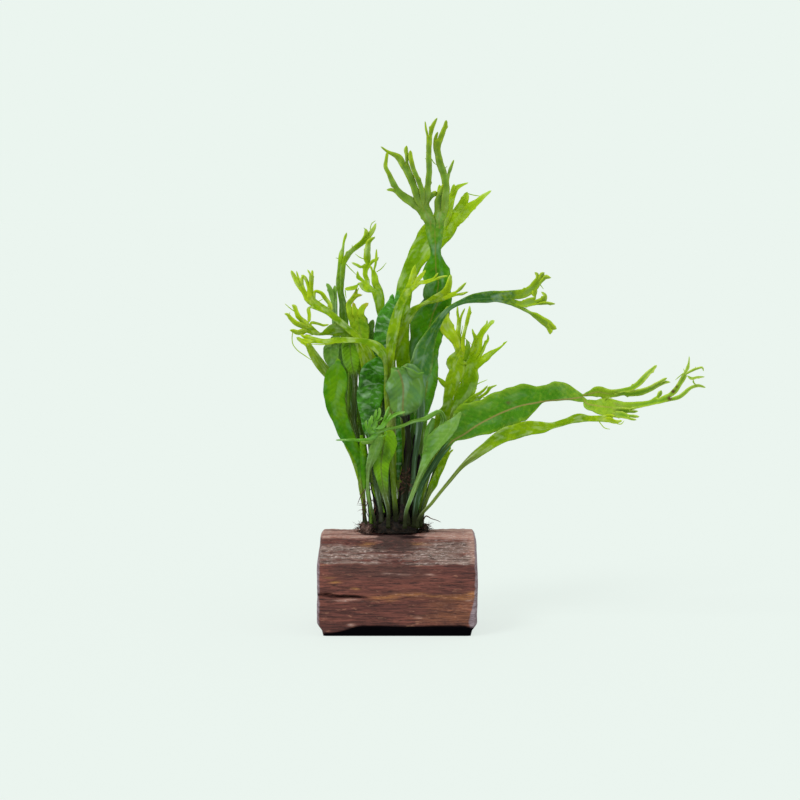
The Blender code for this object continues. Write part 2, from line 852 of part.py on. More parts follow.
        roll=0.3,
        fold=-0.2,
        blade=(
            (-6.4, 60, 0.9),
            (-8.6, 76, 1.6),
            (-9.0, 86, 3.6),
            (-7.6, 95, 4.2),
            (-6.0, 102, 2.8),
        ),
        crest=fan(-5.6, 103.0, 10.0, 11.0, 4, 5.0),
    ),
    "back_centre_frond": dict(
        foot=(0.8, 7.6),
        depths=(12.0, 20.0, 29.0),
        roll=-0.3,
        fold=-0.2,
        blade=(
            (3.2, 58, 0.9),
            (5.6, 74, 1.4),
            (7.6, 86, 3.4),
            (9.2, 97, 4.0),
            (10.2, 105, 2.6),
        ),
        crest=fan(10.4, 106.0, 4.0, 9.0, 4, 6.0),
    ),
    "back_right_frond": dict(
        foot=(4.6, 6.0),
        depths=(9.0, 13.0, 17.0),
        roll=0.2,
        fold=-0.2,
        blade=(
            (6.8, 58, 0.9),
            (8.6, 72, 1.4),
            (8.4, 84, 3.0),
            (5.6, 94, 3.8),
            (2.6, 102, 2.6),
        ),
        crest=fan(2.2, 103.0, -12.0, 10.0, 4, 4.0),
    ),
    "back_low_left_frond": dict(
        foot=(-7.0, 7.0),
        depths=(12.0, 22.0, 33.0),
        roll=0.2,
        fold=-0.2,
        blade=(
            (-7.4, 49, 0.8),
            (-7.8, 56, 1.6),
            (-7.4, 63, 3.0),
            (-6.6, 68, 2.6),
        ),
        crest=fan(-6.4, 68.6, 8.0, 6.5, 3, 6.0),
    ),
    "back_low_right_frond": dict(
        foot=(5.0, 8.2),
        depths=(13.0, 24.0, 36.0),
        roll=-0.2,
        fold=-0.2,
        blade=(
            (6.6, 50, 0.8),
            (8.6, 57, 1.6),
            (10.4, 64, 2.8),
            (12.0, 69, 2.4),
        ),
        crest=fan(12.4, 69.6, 14.0, 6.0, 3, 5.0),
    ),
}


def material(name, colour, roughness):
    """A plain Principled material. colour is linear red, green and blue."""
    made = bpy.data.materials.new(name)
    made.use_nodes = True
    shader = made.node_tree.nodes["Principled BSDF"]
    shader.inputs["Base Color"].default_value = (*colour, 1.0)
    shader.inputs["Roughness"].default_value = roughness
    shader.inputs["Metallic"].default_value = 0.0
    made.diffuse_color = (*colour, 1.0)
    return made


def finish_object(name, bm, surface):
    """Turns the bmesh, whose places are in millimetres, into a named object in metres."""
    bmesh.ops.recalc_face_normals(bm, faces=bm.faces)
    bmesh.ops.scale(bm, vec=(MM, MM, MM), verts=bm.verts)
    mesh = bpy.data.meshes.new(name)
    bm.to_mesh(mesh)
    bm.free()
    mesh.materials.append(surface)
    made = bpy.data.objects.new(name, mesh)
    bpy.context.scene.collection.objects.link(made)
    return made


# ---- the frond: from its layout to a solid ----


def seen(across, up, depth):
    """The point at that depth which the eye sees at (across, up) on the plane y = 0."""
    reach = (depth - EYE.y) / -EYE.y
    return Vector((EYE.x + reach * (across - EYE.x), depth, EYE.z + reach * (up - EYE.z)))


def laid_out(point):
    """(across, up, depth) of a point in space, the reverse of seen."""
    reach = (point.y - EYE.y) / -EYE.y
    return (EYE.x + (point.x - EYE.x) / reach, EYE.z + (point.z - EYE.z) / reach, point.y)


def blend_values(values, share):
    """The value at share, 0 to 1, along evenly spaced values."""
    place = share * (len(values) - 1)
    low = min(int(place), len(values) - 2)
    return values[low] + (place - low) * (values[low + 1] - values[low])


def rhizome_top(x, y):
    """The height of the rhizome's upper side."""
    wide = (abs(x - RHIZOME_CENTRE.x) / RHIZOME_HALF.x) ** RHIZOME_POWER
    deep = (abs(y - RHIZOME_CENTRE.y) / RHIZOME_HALF.y) ** RHIZOME_POWER
    left = max(1.0 - wide - deep, 0.0)
    return RHIZOME_CENTRE.z + RHIZOME_HALF.z * left ** (1.0 / RHIZOME_POWER)


def foot_height(x, y):
    """Where a stalk that grows at (x, y) begins: just over the rhizome or the root clump there."""
    return max(rhizome_top(x, y) + 0.9, BLOCK_TOP + 4.6)


def row_directions(places):
    """The unit direction to the left of the run at each of the (across, up) places."""
    lefts = []
    for i in range(len(places)):
        before = places[max(i - 1, 0)]
        after = places[min(i + 1, len(places) - 1)]
        du = after[0] - before[0]
        dw = after[1] - before[1]
        size = math.hypot(du, dw) or 1.0
        lefts.append((-dw / size, du / size))
    return lefts


def stitch(bm, lower, upper):
    """Faces between two rows of vertices, which may hold different numbers of them."""
    i = 0
    j = 0
    while i < len(lower) - 1 or j < len(upper) - 1:
        lower_share = (i + 1) / (len(lower) - 1) if i < len(lower) - 1 else 2.0
        upper_share = (j + 1) / (len(upper) - 1) if j < len(upper) - 1 else 2.0
        if abs(lower_share - upper_share) < 1e-6:
            bm.faces.new((lower[i], lower[i + 1], upper[j + 1], upper[j]))
            i += 1
            j += 1
        elif lower_share < upper_share:
            bm.faces.new((lower[i], lower[i + 1], upper[j]))
            i += 1
        else:
            bm.faces.new((lower[i], upper[j + 1], upper[j]))
            j += 1


def row_of(bm, place, left, halves, depth, roll, fold, shares):
    """One row of vertices across a blade or strap. shares run from 0 at its left edge to 1 at its right."""
    row = []
    for share in shares:
        side = 2.0 * share - 1.0
        half = halves[0] if side < 0.0 else halves[1]
        reach = -side * half
        across = place[0] + left[0] * reach
        up = place[1] + left[1] * reach
        back = depth + side * half * roll - abs(side) * half * fold
        row.append(bm.verts.new(seen(across, up, back)))
    return row


def split_shares(branches):
    """Where a row divides among its branches, from 0 to 1, by how wide each one starts."""
    widths = [max(b["points"][0][2], 0.45) for b in branches]
    total = sum(widths)
    shares = [0.0]
    for width in widths:
        shares.append(shares[-1] + width / total)
    return shares


def grow_strap(bm, pair, foot, parts, roll):
    """Adds a strap, and what it forks into, from the pair of vertices that it starts at."""
    lean = parts["lean"]
    points = parts["points"]
    places = [(foot[0], foot[1])] + [(p[0], p[1]) for p in points]
    lefts = row_directions(places)
    lower = pair
    depth = foot[2]
    for i, point in enumerate(points):
        last = i == len(points) - 1
        depth = foot[2] + lean * ((i + 1) / len(points)) ** 1.4
        half = max(point[2], THINNEST_HALF_WIDTH)
        halves = (half, half)
        if last and not parts["branches"] and point[2] <= BLUNT_FROM:
            upper = [bm.verts.new(seen(point[0], point[1], depth))]
            bm.faces.new((lower[0], lower[1], upper[0]))
            return
        shares = (0.0, 1.0)
        if last and len(parts["branches"]) > 1:
            shares = split_shares(parts["branches"])
        upper = row_of(bm, point, lefts[i + 1], halves, depth, roll, 0.0, shares)
        stitch(bm, lower, upper)
        lower = upper
    branch_out(bm, lower, parts["branches"], points[-1], lefts[-1], halves, depth, roll, shares)


def branch_out(bm, row, branches, place, left, halves, depth, roll, shares):
    """Starts each branch from its own part of the row."""
    for k, branch in enumerate(branches):
        side = shares[k] + shares[k + 1] - 1.0
        half = halves[0] if side < 0.0 else halves[1]
        across = place[0] - left[0] * side * half
        up = place[1] - left[1] * side * half
        grow_strap(bm, [row[k], row[k + 1]], (across, up, depth + side * half * roll), branch, roll)


def build_frond(name, facts, surface):
    """One frond as a closed thin solid: a sheet that follows the layout, given a thickness."""
    foot_x, foot_y = facts["foot"]
    foot = laid_out(Vector((foot_x, foot_y, foot_height(foot_x, foot_y))))
    points = ((foot[0], foot[1], facts["blade"][0][2]),) + facts["blade"]
    places = [(p[0], p[1]) for p in points]
    lefts = row_directions(places)
    lengths = [0.0]
    for a, b in zip(places, places[1:]):
        lengths.append(lengths[-1] + math.hypot(b[0] - a[0], b[1] - a[1]))
    depths = (foot_y,) + facts["depths"]
    bm = bmesh.new()
    lower = None
    for i, point in enumerate(points):
        depth = blend_values(depths, lengths[i] / lengths[-1])
        halves = (point[2], point[3] if len(point) > 3 else point[2])
        shares = (0.0, 0.5, 1.0) if max(halves) > 1.3 else (0.0, 1.0)
        if i == len(points) - 1:
            shares = split_shares(facts["crest"])
        turned = facts["roll"] * min(1.0, lengths[i] / (0.3 * lengths[-1]))
        upper = row_of(bm, point, lefts[i], halves, depth, turned, facts["fold"], shares)
        if lower is not None:
            stitch(bm, lower, upper)
        lower = upper
    branch_out(
        bm, lower, facts["crest"], points[-1], lefts[-1], halves, depth, facts["roll"], shares
    )
    made = finish_object(name, bm, surface)
    solid = made.modifiers.new("thickness", "SOLIDIFY")
    solid.thickness = LEAF_THICKNESS * MM
    solid.offset = 0.0
    return made


# ---- the wood and what holds on to it ----


def build_driftwood(surface):
    """The block: its end outline drawn out along X in slices that waver a little, with worn ends."""
    slices = 9
    half = 0.5 * BLOCK_LENGTH
    bm = bmesh.new()
    rings = []
    for i in range(slices):
        share = i / (slices - 1)
        x = -half + BLOCK_LENGTH * share
        at_end = min(share, 1.0 - share) == 0.0
        ring = []
        for y, z in BLOCK_SECTION:
            seat = z == BLOCK_TOP or z == 0.0
            worn = 0.955 if at_end else 1.0
            waver = 0.0 if seat else 0.45 * math.sin(0.21 * x + 0.4 * z)
            lifted = z if z == 0.0 else 1.0 + (z - 1.0) * (0.985 if at_end else 1.0)
            slant = 0.4 * math.sin(0.3 * z + 0.1 * y) if at_end else 0.0
            ring.append(bm.verts.new((x + slant, (y + waver) * worn, lifted)))
        rings.append(ring)
    count = len(BLOCK_SECTION)
    for a, b in zip(rings, rings[1:]):
        for k in range(count):
            bm.faces.new((a[k], a[(k + 1) % count], b[(k + 1) % count], b[k]))
    bm.faces.new(rings[0])
    bm.faces.new(rings[-1][::-1])
    return finish_object("driftwood", bm, surface)


def build_mound(name, centre, half, power, bumps, surface):
    """A lumpy half-buried body with a flat underside at centre.z. half is its half length, half depth and
    height, and bumps is how high its lumps stand."""
    around = 18
    up = 6
    bm = bmesh.new()
    rings = []
    for j in range(up):
        lift = 0.5 * math.pi * j / up
        ring = []
        for i in range(around):
            turn = 2.0 * math.pi * i / around
            unit = Vector((math.cos(turn) * math.cos(lift), math.sin(turn) * math.cos(lift), math.sin(lift)))
            size = sum(abs(c) ** power for c in unit) ** (-1.0 / power)
            size *= 1.0 - bumps * (0.5 + 0.5 * math.sin(5.0 * turn + 2.0 * j) * math.cos(3.0 * lift))
            offset = Vector(c * size * h for c, h in zip(unit, half))
            ring.append(bm.verts.new(centre + offset))
        rings.append(ring)
    for a, b in zip(rings, rings[1:]):
        for k in range(around):
            bm.faces.new((a[k], a[(k + 1) % around], b[(k + 1) % around], b[k]))
    top = bm.verts.new(centre + Vector((0.0, 0.0, half.z * (1.0 - bumps))))
    for k in range(around):
        bm.faces.new((rings[-1][k], rings[-1][(k + 1) % around], top))
    bm.faces.new(rings[0][::-1])
    return finish_object(name, bm, surface)


def build_all():
    """Every piece of the plant and its wood."""
    for old in list(bpy.data.objects):
        bpy.data.objects.remove(old)
    wood = material("driftwood", (0.150, 0.070, 0.042), 0.8)
    stem = material("rhizome", (0.016, 0.011, 0.008), 0.85)
    roots = material("roots", (0.060, 0.030, 0.022), 0.9)
    leaf = material("frond", (0.075, 0.190, 0.010), 0.35)
    build_driftwood(wood)
    build_mound("rhizome", RHIZOME_CENTRE, RHIZOME_HALF, RHIZOME_POWER, 0.06, stem)
    build_mound(
        "root_clump_left",
        Vector((-12.3, 1.0, BLOCK_TOP + GAP)),
        Vector((2.5, 4.6, 3.6)),
        2.4,
        0.12,
        roots,
    )
    build_mound(
        "root_clump_right",
        Vector((10.0, 1.6, BLOCK_TOP + GAP)),
        Vector((1.8, 3.2, 3.0)),
        2.4,
        0.12,
        roots,
    )
    for name, facts in FRONDS.items():
        build_frond(name, facts, leaf)


build_all()
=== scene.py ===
"""Looks for a lace-tipped java fern that grows on a short split block of driftwood.

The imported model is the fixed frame. Every frond is laid out as an eye in front of the plant sees it, in
millimetres: `across` and `up` are places on the upright plane y = 0, and a depth moves each place along the
eye's line of sight. A frond is a sheet that grows from its foot, forks again and again at its crest, and is
then given its thickness. The wood, the creeping stem and the roots are each shaped from a primitive.
"""

import logging
import math
import random
from dataclasses import dataclass
from enum import Enum
from typing import Iterable, Sequence

import bpy
import numpy as np
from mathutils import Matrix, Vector, noise


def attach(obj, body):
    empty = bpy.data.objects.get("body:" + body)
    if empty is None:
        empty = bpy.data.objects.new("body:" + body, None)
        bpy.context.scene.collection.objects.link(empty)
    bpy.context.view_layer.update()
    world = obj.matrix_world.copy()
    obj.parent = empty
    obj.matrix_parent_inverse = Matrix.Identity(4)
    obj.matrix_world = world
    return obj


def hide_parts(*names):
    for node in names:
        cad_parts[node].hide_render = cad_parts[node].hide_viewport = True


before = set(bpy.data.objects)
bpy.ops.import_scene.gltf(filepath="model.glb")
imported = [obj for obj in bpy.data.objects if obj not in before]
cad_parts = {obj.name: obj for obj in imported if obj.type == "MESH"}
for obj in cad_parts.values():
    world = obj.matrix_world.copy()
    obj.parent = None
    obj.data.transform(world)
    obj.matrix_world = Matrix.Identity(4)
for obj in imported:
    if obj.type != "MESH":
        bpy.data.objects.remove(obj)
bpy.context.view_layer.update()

LOG = logging.getLogger("java_fern")

MM = 0.001
CM = 0.1  # one mm, in the cm of a leaf's own coordinates
PER_METRE = 1000.0  # mm
WAVE = 0.314  # how far apart a wave texture's waves are at scale 1
EYE = np.array((1.0, -900.0, 155.0))  # where the fronds are laid out from, in mm
BLOCK_TOP = 36.2  # mm
STEM_CENTRE = np.array((-0.8, 1.5, 36.55))  # of the creeping stem's flat underside, mm
STEM_HALF = np.array((8.6, 7.6, 6.0))  # its half length, half depth and height, mm
STEM_POWER = 3.0  # 2 is an ellipsoid, more is boxier


def linear(hex_colour: str) -> tuple[float, float, float, float]:
    """Turns an sRGB colour such as "#5a8f1a" into linear red, green, blue and alpha.

    Args:
        hex_colour: a hash and six hexadecimal digits.

    Returns:
        The four channels that a shader socket takes.
    """
    channels = [int(hex_colour[i : i + 2], 16) / 255.0 for i in (1, 3, 5)]
    flat = [c / 12.92 if c <= 0.04045 else ((c + 0.055) / 1.055) ** 2.4 for c in channels]
    return (flat[0], flat[1], flat[2], 1.0)


def add_node(
    tree: bpy.types.NodeTree, kind: str, sockets: dict | None = None, **settings
) -> bpy.types.Node:
    """Adds a shader node, sets it up and links it.

    Args:
        tree: the node tree that it goes into.
        kind: the node's type name.
        sockets: input name or number to a value, a hex colour, or another node's output to link.
        settings: the node's own properties.

    Returns:
        The new node.
    """
    node = tree.nodes.new(kind)
    for name, value in settings.items():
        setattr(node, name, value)
    for key, value in (sockets or {}).items():
        socket = node.inputs[key]
        if isinstance(value, bpy.types.NodeSocket):
            tree.links.new(value, socket)
        elif isinstance(value, str):
            socket.default_value = linear(value)
        else:
            socket.default_value = value
    return node


def new_material(name: str) -> tuple[bpy.types.Material, bpy.types.NodeTree, bpy.types.Node]:
    """Makes an empty node material.

    Args:
        name: what the real material is.

    Returns:
        The material, its node tree and its output node.
    """
    made = bpy.data.materials.new(name)
    made.use_nodes = True
    tree = made.node_tree
    tree.nodes.clear()
    return made, tree, tree.nodes.new("ShaderNodeOutputMaterial")


def deselect() -> None:
    """Leaves nothing selected, the frame's own nodes among it."""
    bpy.ops.object.select_all(action="DESELECT")


def pick(pieces: Iterable[bpy.types.Object], active: bpy.types.Object) -> None:
    """Selects the pieces alone and makes one of them active.

    Args:
        pieces: what is selected.
        active: the piece that the next operator works on.
    """
    deselect()
    for piece in pieces:
        piece.select_set(True)
    bpy.context.view_layer.objects.active = active


def new_sheet(name: str, columns: int, rows: int, places: np.ndarray) -> bpy.types.Object:
    """Adds a grid and puts each of its vertices in its place.

    Args:
        name: the object's name.
        columns: faces across.
        rows: faces along.
        places: (rows + 1, columns + 1, 3) places in millimetres.

    Returns:
        The grid, at the origin, with its shape in its mesh in metres.
    """
    deselect()
    bpy.ops.mesh.primitive_grid_add(x_subdivisions=columns, y_subdivisions=rows, size=1.0)
    sheet = bpy.context.object
    sheet.name = name
    sheet.data.vertices.foreach_set("co", (places.reshape(-1, 3) * MM).astype(np.float32).ravel())
    sheet.data.update()
    return sheet


def set_values(mesh: bpy.types.Mesh, name: str, values: np.ndarray) -> None:
    """Stores one number for each vertex, for a material to read.

    Args:
        mesh: the mesh.
        name: the attribute's name.
        values: a number for each vertex.
    """
    attribute = mesh.attributes.get(name) or mesh.attributes.new(name, "FLOAT", "POINT")
    attribute.data.foreach_set("value", np.asarray(values, np.float32).ravel())


def join(pieces: Sequence[bpy.types.Object], weld: float = 0.0, closed: bool = False) -> bpy.types.Object:
    """Joins pieces into the first of them.

    Args:
        pieces: the objects, or a single one that is only welded.
        weld: merges vertices nearer than this, in metres; 0 leaves them.
        closed: True also turns the faces of the welded pieces outwards.

    Returns:
        The joined object.
    """
    pick(pieces, pieces[0])
    if len(pieces) > 1:
        bpy.ops.object.join()
    if weld > 0.0:
        bpy.ops.object.mode_set(mode="EDIT")
        bpy.ops.mesh.select_all(action="SELECT")
        bpy.ops.mesh.remove_doubles(threshold=weld)
        if closed:
            bpy.ops.mesh.select_all(action="SELECT")
            bpy.ops.mesh.normals_make_consistent(inside=False)
        bpy.ops.object.mode_set(mode="OBJECT")
    return bpy.context.object


def apply_modifier(piece: bpy.types.Object, kind: str, **settings) -> None:
    """Adds a modifier and applies it.

    Args:
        piece: the object.
        kind: the modifier's type.
        settings: its properties.
    """
    pick([piece], piece)
    added = piece.modifiers.new(kind.lower(), kind)
    for name, value in settings.items():
        setattr(added, name, value)
    bpy.ops.object.modifier_apply(modifier=added.name)


def smoothstep(low: float, high: float, value: np.ndarray) -> np.ndarray:
    """0 below low, 1 above high, and a smooth rise between them."""
    share = np.clip((value - low) / (high - low), 0.0, 1.0)
    return share * share * (3.0 - 2.0 * share)


def seen(laid: np.ndarray) -> np.ndarray:
    """Turns laid-out places into points in space.

    Args:
        laid: (..., 3) across, up and depth in millimetres.

    Returns:
        (..., 3) x, y and z in millimetres.
    """
    reach = (laid[..., 2] - EYE[1]) / -EYE[1]
    x = EYE[0] + reach * (laid[..., 0] - EYE[0])
    z = EYE[2] + reach * (laid[..., 1] - EYE[2])
    return np.stack((x, laid[..., 2], z), axis=-1)


def laid_out(x: float, y: float, z: float) -> tuple[float, float, float]:
    """The reverse of seen for one point: its across, up and depth."""
    reach = (y - EYE[1]) / -EYE[1]
    return (EYE[0] + (x - EYE[0]) / reach, EYE[2] + (z - EYE[2]) / reach, y)


def distances(places: np.ndarray) -> np.ndarray:
    """How far along a line each of its (n, k) places lies, from 0."""
    return np.concatenate(((0.0,), np.cumsum(np.linalg.norm(np.diff(places, axis=0), axis=1))))


def smooth_run(
    controls: np.ndarray, lengths: np.ndarray, at: np.ndarray, start: np.ndarray | None = None
) -> np.ndarray:
    """Follows a smooth curve through control rows.

    Args:
        controls: (n, k) values at the control points: across, up, then others, which don't overshoot.
        lengths: the distance along at each control point.
        at: the distances that values are wanted for.
        start: the slope at the first control point, if it is set.

    Returns:
        (len(at), k) values.
    """
    gaps = np.diff(lengths)[:, None]
    rises = np.diff(controls, axis=0) / gaps
    slopes = np.empty_like(controls)
    slopes[0] = rises[0] if start is None else start
    slopes[-1] = rises[-1]
    if len(controls) > 2:
        slopes[1:-1] = (rises[1:] * gaps[:-1] + rises[:-1] * gaps[1:]) / (gaps[:-1] + gaps[1:])
        slopes[1:-1, 2:][rises[1:, 2:] * rises[:-1, 2:] <= 0.0] = 0.0
    low = np.clip(np.searchsorted(lengths, at, side="right") - 1, 0, len(lengths) - 2)
    span = gaps[low]
    t = (at - lengths[low])[:, None] / span
    first = (1 + 2 * t) * (1 - t) ** 2 * controls[low] + t * (1 - t) ** 2 * span * slopes[low]
    last = t * t * (3 - 2 * t) * controls[low + 1] + t * t * (t - 1) * span * slopes[low + 1]
    return first + last


class Tone(Enum):
    """How a frond's surface looks, by its age and by which of its sides faces the front; BACKLIT is a
    brighter copy painted as lit through from behind.
    """

    DEEP = "deep"
    GLOSSY = "glossy"
    BROAD = "broad"
    LONG = "long"
    FRESH = "fresh"
    YELLOW = "yellow"
    BACKLIT = "backlit"
    PALE = "pale"
    SILVERY = "silvery"
    ROUND = "round"
    BRIGHT = "bright"
    STREAKY = "streaky"
    BRONZE = "bronze"


@dataclass(frozen=True)
class Layer:
    """A layer of colour, which covers more of what is under it as its value goes from start to full."""

    value: bpy.types.NodeSocket
    paint: str | bpy.types.NodeSocket
    start: float = 0.0
    full: float = 1.0
    strength: float = 1.0  # how much it covers there
    share: bpy.types.NodeSocket | None = None  # what its strength is multiplied by
    curve: str = "LINEAR"


def layered(
    tree: bpy.types.NodeTree, colour: str | bpy.types.NodeSocket, layers: Iterable[Layer]
) -> bpy.types.NodeSocket:
    """Mixes layers over a colour, one after another.

    Args:
        tree: the node tree that they go into.
        colour: what lies under them all.
        layers: the layers, the lowest first.

    Returns:
        The colour that they make.
    """
    for layer in layers:
        cover = add_node(
            tree, "ShaderNodeMapRange", {0: layer.value, 1: layer.start, 2: layer.full, 4: layer.strength},
            interpolation_type=layer.curve
        ).outputs[0]
        if layer.share is not None:
            cover = add_node(
                tree, "ShaderNodeMath", {0: cover, 1: layer.share}, operation="MULTIPLY"
            ).outputs[0]
        mixed = add_node(tree, "ShaderNodeMix", {0: cover, 6: colour, 7: layer.paint}, data_type="RGBA")
        colour = mixed.outputs[2]
    return colour


@dataclass(frozen=True)
class LeafFinish:
    """Living fern leaf: a thin waxy skin over green cells. It is satin, darker where it is old and thick,
    and lets a yellow-green light through where it is young and thin, at its crest."""

    name: str
    # Painted shade: the dark foot of a stalk, where the stalks shade each other, and the furrows along a
    # stalk.
    foot: str = "#2a2d1a"
    dying: str = "#5e4a2a"  # of its dead spots
    stalk: str = "#6f8a3c"
    blade: str = "#5a9414"
    shade: str = "#3f7a0e"
    crest: str = "#86b41c"
    tip: str = "#a9ca2c"
    rib: str = "#8fa45a"
    back: str = "#6a9a58"
    glow: str = "#9ccc00"
    shine: str = "#b4cdbc"  # of the painted highlight patches
    sheen: float = 0.12  # how strongly they show
    young_sheen: float = 0.3  # how much of that is left in the crest
    flecks: float = 0.06  # how strongly its cells show as paler flecks
    core: float = 0.42  # how much darker the crest's straps are along their middles
    margins: float = 0.3  # how much brighter their thin margins are painted, as painted light coming through them
    streaks: float = 0.45  # how strongly the painted highlights along its stalk's ridges show
    furrows: float = 0.5  # how dark the painted shade in the furrows between them is
    veins: float = 0.3  # how dark its side veins are
    rough: float = 0.38
    wax: float = 0.0
    wax_rough: float = 0.22
    ior: float = 1.45  # of the wax on a leaf
    spec: float = 0.08
    through: float = 0.28
    vein_gap: float = 2.4  # mm between side veins
    vein_slant: float = 0.85  # how far they run back along the blade for each mm across
    pucker: float = 0.5  # how strongly the blade is quilted between its veins
    quilt_depth: float = 0.35  # mm
    grain: float = 0.25  # how strongly its cells stand out
    grain_depth: float = 0.1  # mm
    rib_width: float = 0.34  # mm from the rib's middle to its side
    rib_strength: float = 0.25  # how clearly the rib's own colour shows
    ripple: tuple[float, float] = (3.4, 1.5)  # ripples of painted highlight for each cm across and along
    ridges: tuple[float, float] = (14.0, 0.7)  # of the stalk, for each cm across and along
    patches: float = 0.1  # darker patches a mm, each a little over a blade's width
    mottles: float = 0.75  # a mm
    cells: float = 0.62  # a mm; real ones are too fine to show

    def skin(self, under: bool) -> bpy.types.Material:
        """Makes the material of one side.

        Args:
            under: True for the underside, which is paler, greyer and duller.

        Returns:
            The material.
        """
        made, tree, out = new_material(self.name + ("_underside" if under else "_skin"))
        place = add_node(tree, "ShaderNodeTexCoord").outputs["Object"]
        mm = add_node(tree, "ShaderNodeMapping", {"Vector": place, "Scale": (PER_METRE,) * 3}).outputs[0]
        uv = add_node(tree, "ShaderNodeUVMap", uv_map="leaf").outputs[0]
        split = add_node(tree, "ShaderNodeSeparateXYZ", {0: uv})
        across = add_node(tree, "ShaderNodeMath", {0: split.outputs[0]}, operation="ABSOLUTE").outputs[0]
        crest, edge, stalk, low, dead = (
            add_node(tree, "ShaderNodeAttribute", attribute_name=name).outputs["Fac"]
            for name in ("crest", "edge", "stalk", "low", "dead")
        )
        old = add_node(
            tree, "ShaderNodeMapRange", {0: crest, 1: 0.55, 2: 0.1}
        ).outputs[0]  # 0 in the young crest
        fresh = add_node(tree, "ShaderNodeMapRange", {0: old, 1: 0.7, 2: 0.0}).outputs[0]
        firm = add_node(tree, "ShaderNodeMapRange", {0: old, 3: self.young_sheen, 4: 1.0}).outputs[0]
        kept = add_node(
            tree, "ShaderNodeMath", {0: old, 1: stalk}, operation="SUBTRACT", use_clamp=True
        ).outputs[0]

        rippled, furrowed = (
            add_node(tree, "ShaderNodeMapping", {"Vector": uv, "Scale": (*size, 1.0)}).outputs[0]
            for size in (self.ripple, self.ridges)
        )
        patch, mottle, ripple, ridge = (
            add_node(
                tree, "ShaderNodeTexNoise",
                {"Vector": space, "Scale": scale, "Detail": detail, "Distortion": bend}
            ).outputs["Fac"]
            for space, scale, detail, bend in (
                (mm, self.patches, 2.0, 0.0), (mm, self.mottles, 3.0, 0.0), (rippled, 1.0, 2.0, 0.5),
                (furrowed, 1.0, 2.0, 0.0),
            )
        )
        slant = add_node(
            tree, "ShaderNodeMath", {0: across, 1: self.vein_slant, 2: split.outputs[1]},
            operation="MULTIPLY_ADD"
        ).outputs[0]
        veined = add_node(tree, "ShaderNodeCombineXYZ", {0: slant, 1: across}).outputs[0]
        vein = add_node(
            tree,
            "ShaderNodeTexWave",
            {"Vector": veined, "Scale": WAVE / (self.vein_gap * CM), "Distortion": 1.6, "Detail": 2.0,
             "Detail Scale": 1.5},
        ).outputs["Fac"]
        cells = add_node(
            tree, "ShaderNodeTexVoronoi", {"Vector": mm, "Scale": self.cells, "Randomness": 0.9},
            feature="DISTANCE_TO_EDGE"
        ).outputs["Distance"]

        rise = add_node(
            tree, "ShaderNodeMath", {0: mottle, 1: 0.5, 2: crest}, operation="MULTIPLY_ADD"
        ).outputs[0]
        margin = layered(tree, self.crest, [Layer(fresh, self.tip)])
        # Painted highlights run in pale streaks along a stalk's ridges, with painted shade in the furrows
        # between them.
        ridged = layered(tree, self.stalk, (
            Layer(ridge, self.shine, 0.53, 0.66, self.streaks),
            Layer(ridge, self.foot, 0.5, 0.36, self.furrows),
        ))
        rib_side = self.rib_width * CM
        colour = layered(tree, self.back if under else self.blade, (
            Layer(patch, self.back if under else self.shade, 0.42, 0.6, curve="SMOOTHSTEP"),
            Layer(rise, self.crest, 0.24, 0.62, curve="SMOOTHSTEP"),
            Layer(rise, self.tip, 0.85, 1.3, curve="SMOOTHSTEP"),
            # The crest's straps are darker along their veins, and their thin margins are painted brighter,
            # as painted light coming through them.
            Layer(edge, self.shade, 0.75, 0.2, self.core, fresh),
            Layer(edge, margin, 0.72, 1.0, self.margins),
            Layer(vein, self.shade, 0.25, 0.0, self.veins, old),
            Layer(mottle, self.back if under else self.tip, 0.45, 0.75, self.flecks, old),
            # Painted highlights: the skin is painted paler in ripples between its veins, by a noise pattern.
            Layer(ripple, self.shine, 0.5, 0.74, self.sheen, firm),
            Layer(stalk, ridged),
            Layer(across, self.rib, rib_side, 0.4 * rib_side, self.rib_strength, kept),
            # Painted shade over the stalk's foot, where the stalks shade each other.
            Layer(low, self.foot),
            Layer(dead, self.dying),
        ))

        # The blade is quilted between its side veins, and its cells show as a fine grain.
        hollow = add_node(
            tree, "ShaderNodeMath", {0: vein, 1: patch, 2: mottle}, operation="MULTIPLY_ADD"
        ).outputs[0]
        hollow = add_node(tree, "ShaderNodeMath", {0: hollow, 1: old}, operation="MULTIPLY").outputs[0]
        pucker = self.pucker * (0.7 if under else 1.0)
        normal = None
        for height, strength, depth in (
            (hollow, pucker, self.quilt_depth), (cells, self.grain, self.grain_depth),
        ):
            sockets = {"Strength": strength, "Distance": depth * MM, "Height": height}
            if normal:
                sockets["Normal"] = normal
            normal = add_node(tree, "ShaderNodeBump", sockets).outputs[0]
        dullest = self.rough + (0.2 if under else 0.1)
        gloss = add_node(
            tree, "ShaderNodeMapRange", {0: mottle, 1: 0.3, 2: 0.7, 3: self.rough - 0.07, 4: dullest}
        ).outputs[0]
        shader = add_node(
            tree,
            "ShaderNodeBsdfPrincipled",
            {"Base Color": colour, "Roughness": gloss, "IOR": self.ior, "Specular IOR Level": self.spec,
             "Normal": normal, "Coat Weight": 0.0 if under else self.wax, "Coat Roughness": self.wax_rough},
        )
        inner = add_node(
            tree, "ShaderNodeMix", {0: 0.45, 6: colour, 7: self.glow}, data_type="RGBA"
        ).outputs[2]
        through = add_node(tree, "ShaderNodeBsdfTranslucent", {"Color": inner, "Normal": normal})
        both = add_node(
            tree, "ShaderNodeMixShader", {0: self.through, 1: shader.outputs[0], 2: through.outputs[0]}
        )
        tree.links.new(both.outputs[0], out.inputs["Surface"])
        return made


